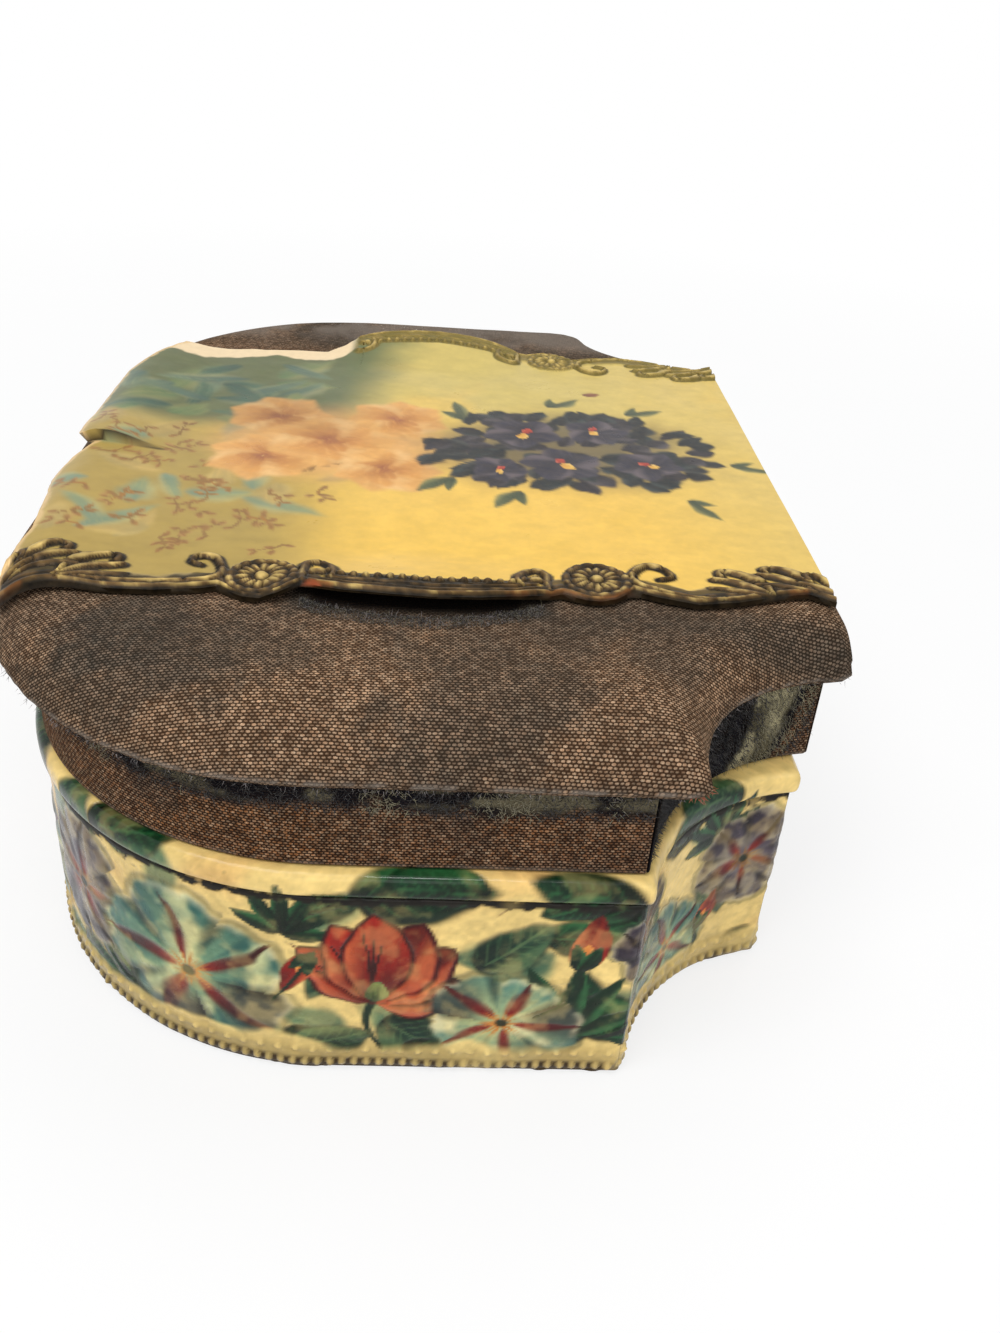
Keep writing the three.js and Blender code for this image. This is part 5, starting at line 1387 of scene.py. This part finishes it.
class JEWELRYBOX_OT_panel(bpy.types.Operator):
    """Makes the printed panel with its die-cut border, lifted bow, crack and ragged front"""
    bl_idname = "jewelrybox.panel"
    bl_label = "Printed panel"

    def execute(self, context):
        sizes, colours = settings()
        side, border, inner = np.linspace(0, 1, 60), 0.3, 0.7  # the border has the finer columns
        columns = np.concatenate([
            -1 + side[:-1] * border, np.linspace(-inner, inner, 122), inner + side[1:] * border,
        ])
        a, v = np.meshgrid(columns, np.linspace(0, 1, 372))

        def lay_out(front, back):
            """Where the grid's points are between a front and a back edge, and the side edges there."""
            y = front + (back - front) * v
            right, left = np.interp(y, *NEAR_EDGE.T), self.far_edge(y)
            return np.where(a > 0, a * right, -a * left), y, right, left

        x = lay_out(-52.5, 52.5)[0]
        front = np.interp(x, *FRONT_EDGE.T) + 0.35 * stir(x, x * 0, 1.6, 53, 3)
        x, y, right, left = lay_out(front, 52.4)
        art = panel_art(x, y)
        relief, metal = np.zeros_like(x), np.zeros_like(x)
        for way in (1, -1):
            high, zone, outer = border_relief(x, y, way)
            here = (x * way > 25).astype(float)
            relief += high * here
            metal = np.maximum(metal, zone * here)
            art.tint(self.bronze(x, y, way, high, outer - x * way, colours), zone * here)
        bare = step(-13.5, -15.5, y) * step(0.8, -0.2, x - left - 4.2 + 5 * stir(x, y, 7, 63))
        chipped = step(1.0, 0.3, np.minimum(y - front, 4) + 1.2 * stir(x, y, 1.5, 65))
        crack_x = np.interp(y, *CRACK)
        line = step(0.5, 0.15, np.abs(x - crack_x)) * step(-38.4, -39.4, y)
        chip = step(1.2, 0.7, np.hypot((x - right + 0.1) * 1.8, y + 13.0) + 0.8 * stir(x, y, 1.2, 69))
        for colour, share in (("E8CFA6", bare), ("DDBB86", 0.8 * chipped), ("241A12", 0.92 * line),
                              ("8A4226", 0.9 * chip)):
            art.tint(colour, share)

        bow = np.clip(1 - ((y + 1.5) / 17.5) ** 2, 0, 1) ** 0.7
        beside = np.where(x < crack_x, np.exp(-((crack_x - x) / 9.0) ** 2), 0)
        tip_lift = 1.5 * step(-38.6, -47, y) * beside
        lifted = sizes.bow_lift * bow * step(36, 50, x) + sizes.far_lift * bow * step(33, 50, -x)
        sprung = sizes.front_lift * step(-36, -52, y) * (1 + 0.5 * step(8, -2, x))
        base = lid_height(x, y) + 1.0 + tip_lift + lifted + (0.35 * stir(x, y, 24, 67) + sprung)
        rim = step(0, 0.6, np.abs(np.where(x > 0, right - x, x - left)) + 0.05)
        face = np.stack([x, y, base + relief * sizes.relief * rim], -1)
        made = self.close(face, base - 0.7 + 0.45 * bow * step(33, 42, np.abs(x)), art.rgb, metal)
        dress(made, "lid", "printed_panel", print_finish("printed_celluloid"), "celluloid_panel")
        return {"FINISHED"}

    def far_edge(self, y):
        """The panel's edge on the left: die-cut like the right one, and torn at its front."""
        torn = np.interp(y, *TORN_EDGE.T) + 1.4 * stir(y, y * 0, 5, 51, 3)
        return np.where(y < TORN_EDGE[-1, 0], torn, -np.interp(y, *NEAR_EDGE.T))

    def bronze(self, x, y, way, high, from_edge, colours):
        """The border's bronzing: dark in the hollows, brown half-way up, gold on the heights, with rust, and
        a dark line at the edge that is a painted shade; paler on the left."""
        tone = step(0.18, 0.76, high + 0.5 * stir(x, y, 1.3, 57, 3))[..., None]
        middle = np.array(linear("5C4526"))
        metal = np.where(tone < 0.5, np.array(colours.bronze) * (1 - 2 * tone) + middle * 2 * tone,
                         middle * (2 - 2 * tone) + np.array(colours.gold) * (2 * tone - 1))
        metal = metal * (0.64 + 0.76 * cloudy(x, y, 2.6, 58))[..., None]
        rust = step(0.9, 0.5, from_edge) * step(0.55, 0.7, cloudy(y, x * 0, 4, 59))
        metal = towards(metal, linear("8A5428"), 0.5 * rust)
        # a painted shade: darker along the outer half millimetre of the border
        metal = metal * (1 - 0.8 * step(0.5, 0.15, from_edge))[..., None]
        return 0.7 * metal + 0.3 * np.array(linear("B5A254")) if way < 0 else metal

    def close(self, face, low, rgb, metal):
        """The embossed face over a plainer underside, which has every sixth row and column of its points.
        The edge between them is a face for each step of the underside."""
        rows, cols = low.shape
        index = np.arange(rows * cols).reshape(rows, cols)
        down, wide = (np.unique(np.append(np.arange(0, n, 6), n - 1)) for n in (rows, cols))
        under = np.dstack([face[..., :2], low])[np.ix_(down, wide)]
        lower = rows * cols + np.arange(under.shape[0] * under.shape[1]).reshape(under.shape[:2])
        quads = [np.stack([g[:-1, :-1], g[:-1, 1:], g[1:, 1:], g[1:, :-1]], -1).reshape(-1, 4)
                 for g in (index, lower)]
        faces = quads[0].tolist() + quads[1][:, ::-1].tolist()
        for top, foot, at in ((index[0], lower[0], wide), (index[:, -1], lower[:, -1], down),
                              (index[-1][::-1], lower[-1][::-1], cols - 1 - wide[::-1]),
                              (index[:, 0][::-1], lower[:, 0][::-1], rows - 1 - down[::-1])):
            for k in range(len(at) - 1):
                faces.append([*top[at[k] : at[k + 1] + 1][::-1].tolist(), int(foot[k]), int(foot[k + 1])])
        # a painted shade: the underside, and the sheet's edge with it, is painted dark on the sides, where it
        # is seen under the lifted bows; nearer the middle it is pale like the torn front
        below = np.where(np.abs(under[..., :1]) > 41, linear("1E170F"), linear("D9C08E"))
        points, paint = (np.concatenate([a.reshape(-1, 3), b.reshape(-1, 3)])
                         for a, b in ((face, under), (rgb, below)))
        metal = np.concatenate([metal.ravel(), np.zeros(lower.size)])
        return solid("printed_panel", points, faces, {"paint": paint, "metal": metal}, 60)


class JEWELRYBOX_OT_pads(bpy.types.Operator):
    """Makes the padded satin floor and the pad of the lid, and the gathered satin of the walls"""
    bl_idname = "jewelrybox.pads"
    bl_label = "Satin"

    def execute(self, context):
        _, colours = settings()
        material = satin_finish("satin", tuple(colours.satin), tuple(0.62 * c for c in colours.satin))
        for made, body, node in (
            (self.pad("padded_floor", BASE, 5.6, 4.2, 9.2), "base", "floor_pad"),
            (self.pad("padded_lid", SKIRT, 5.7, 50.4, 46.4), "lid", "lid_pad"),
        ):
            dress(made, body, "satin", material, node)
        for name, plan, inset, low, high, body, node, rests in (
            ("wall_satin", BASE, 4.3, 4.3, 32.1, "base", "base_lining", "base_front_wall"),
            ("lid_satin", SKIRT, 4.4, 33.7, 46.0, "lid", "lid_lining", "skirt_right"),
        ):
            made, run = self.gathers(name, plan, inset, low, high)
            dress(made, body, "satin", material, node)
        return {"FINISHED"}

    def pad(self, name, plan, inset, low, high):
        """A crowned pad: its edge is drawn in at the seam, it swells to the middle, small pleats run in
        from the edge, and buttons draw it down in places."""
        counts = counts_for(1.1)
        edge, middle = outline(plan, inset, counts), np.array([0, -1.0])
        rows = [at_height(outline(plan, inset + draw, counts), low + (high - low) * rise)
                for draw, rise in ((1.1, 0.0), (0.25, 0.12), (0.0, 0.35), (0.2, 0.6))]
        run = along(np.concatenate([edge, edge[:1]]))[:-1]
        for share in np.linspace(0.985, 0.02, 44):
            ring = middle + (edge - middle) * share
            swell = 0.62 + 0.38 * (1 - share**7)
            pleat = 0.10 * np.sin(2 * math.pi * run / 5.2 + 3 * cloudy(run, run * 0, 11, 3))
            pleat = pleat * step(0.62, 0.97, share)
            dents = 0
            for cx, cy in ((-34, -12), (0, -12), (34, -12), (-17, 14), (17, 14)):
                d = np.hypot(ring[:, 0] - cx, ring[:, 1] - cy)
                dents = dents + 0.34 * np.exp(-((d / 4.2) ** 2)) + 0.12 * np.exp(-((d / 11) ** 2))
            rumple = 0.09 * stir(*ring.T, 12, 7)
            z = low + (high - low) * np.clip(swell + pleat - dents + rumple, 0.2, 1.0)
            rows.append(np.column_stack([ring, z]))
        grid = np.array(rows)
        uv = np.concatenate([grid[..., :2], grid[:, :1, :2]], 1) * SATIN_SCALE
        return piece(name, grid, wrap=(False, True), ends=True, uv=uv, sharp=80)

    def gathers(self, name, plan, inset, low, high):
        """A band of satin shirred along the wall: folds in and out that wander as they run up. With it
        comes the length of its run."""
        ring = outline(plan, inset, counts_for(0.55))
        run = along(np.concatenate([ring, ring[:1]]))[:-1]
        normal = outwards(ring)
        s, tall = np.meshgrid(run, np.concatenate([np.linspace(low, high, 16), [high, low]]))
        fold = 0.5 + 0.5 * np.sin(2 * math.pi * s / 3.4 + 5 * cloudy(s, tall * 0.4, 13, 5))
        inward = 0.15 + 0.6 * fold
        inward[-2:] = -0.05
        inward[0] = inward[-3] = 0.1
        grid = np.stack([ring[:, 0] - normal[:, 0] * inward, ring[:, 1] - normal[:, 1] * inward, tall], -1)
        uv = np.stack([np.append(s, s[:, :1] + run[-1], 1), np.append(tall, tall[:, :1], 1)], -1)
        return piece(name, grid, wrap=(True, True), uv=uv * SATIN_SCALE, sharp=80), float(run[-1])


class JEWELRYBOX_OT_hardware(bpy.types.Operator):
    """Gives the boards, bottom paper, hinges and catch their finishes, and sets the hinges' tacks"""
    bl_idname = "jewelrybox.hardware"
    bl_label = "Boards and brass"

    def execute(self, context):
        finishes = {
            "brass": metal_finish("old_brass", linear("B08E48"), linear("6E5630"), 0.3),
            "steel": metal_finish("old_steel", linear("9A958C"), linear("4A443E"), 0.35),
            "board": board_finish("board", linear("A58A62"), linear("6E5738")),
            "bottom_paper": board_finish("bottom_paper", linear("6B5A48"), linear("3E3226")),
        }
        slots = {p["node"]: p["material_slot"] for p in frame["record"]["subparts"]}
        for name, node in NODES.items():
            if slots.get(name) in finishes:
                node.data.materials.clear()
                node.data.materials.append(finishes[slots[name]])
        for leaf, body, y, near, far in (
            ("lower", "base", 51.1, 26.6, 23.6), ("upper", "lid", 53.3, 35.8, 38.8),
        ):
            for side, cx in (("left", -HINGE_PLACE), ("right", HINGE_PLACE)):
                for k, (dx, z) in enumerate(((-6, near), (6, near), (0, far))):
                    tack = self.tack(f"tack_{side}_{leaf}_{k + 1}", cx + dx, y, z)
                    dress(tack, body, "brass", finishes["brass"])
        self.spring(finishes["steel"])
        return {"FINISHED"}

    def tack(self, name, x, y, z):
        """A domed head on the leaf, over a short shank that is let into it."""
        radius, high, shank = 1.05, 0.45, -0.5
        t, turn = np.linspace(0, math.pi / 2, 5)[:-1], np.linspace(0, 2 * math.pi, 13)[:-1]
        r = np.concatenate([[radius], radius * np.cos(t), [0.02]])[:, None]
        out = np.concatenate([[shank], high * np.sin(t), [high]])
        grid = np.stack([x + r * np.cos(turn), (y + out)[:, None] + 0 * r * turn, z + r * np.sin(turn)], -1)
        return piece(name, grid, wrap=(False, True), ends=True)

    def spring(self, material):
        """The catch's leaf spring: its lean to the front grows with the square of its height."""
        foot, top, back, thick = 21.8, 30.6, -41.0, 0.4
        t = np.linspace(0, 1, 25)
        y, z = back - 1.8 * t**2, foot + (top - foot) * t
        loop = np.column_stack([np.concatenate([y, y[::-1] + thick]), np.concatenate([z, z[::-1]])])
        grid = np.stack([np.column_stack([np.full(len(loop), x), loop]) for x in np.linspace(-3, 3, 7)], 1)
        made = piece("leaf_spring", grid, wrap=(True, False), ends=True, sharp=30)
        made.data.materials.append(material)
        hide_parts("catch_spring")
        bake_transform(made)


OPERATORS = (
    JEWELRYBOX_OT_stage, JEWELRYBOX_OT_walls, JEWELRYBOX_OT_rim, JEWELRYBOX_OT_lid_cloth,
    JEWELRYBOX_OT_skirt_cloth, JEWELRYBOX_OT_fibres, JEWELRYBOX_OT_panel, JEWELRYBOX_OT_pads,
    JEWELRYBOX_OT_hardware,
)


class JEWELRYBOX_PT_panel(bpy.types.Panel):
    """Lists the pieces of the jewelry box"""
    bl_idname = "JEWELRYBOX_PT_panel"
    bl_label = "Jewelry Box"
    bl_space_type = "VIEW_3D"
    bl_region_type = "UI"
    bl_category = "Jewelry Box"

    def draw(self, context):
        for operator in OPERATORS:
            self.layout.operator(operator.bl_idname)
        for group in (context.scene.jewelry_box_sizes, context.scene.jewelry_box_colours):
            for name in group.__annotations__:
                self.layout.prop(group, name)


CLASSES = (JewelryBoxSizes, JewelryBoxColours, *OPERATORS, JEWELRYBOX_PT_panel)


def register():
    for made in CLASSES:
        bpy.utils.register_class(made)
    bpy.types.Scene.jewelry_box_sizes = PointerProperty(type=JewelryBoxSizes)
    bpy.types.Scene.jewelry_box_colours = PointerProperty(type=JewelryBoxColours)


def unregister():
    del bpy.types.Scene.jewelry_box_sizes
    del bpy.types.Scene.jewelry_box_colours
    for made in reversed(CLASSES):
        bpy.utils.unregister_class(made)


def main():
    """Registers the add-on and makes every piece in order."""
    register()
    for operator in OPERATORS:
        getattr(bpy.ops.jewelrybox, operator.bl_idname.split(".")[1])()


if __name__ == "__main__":
    main()
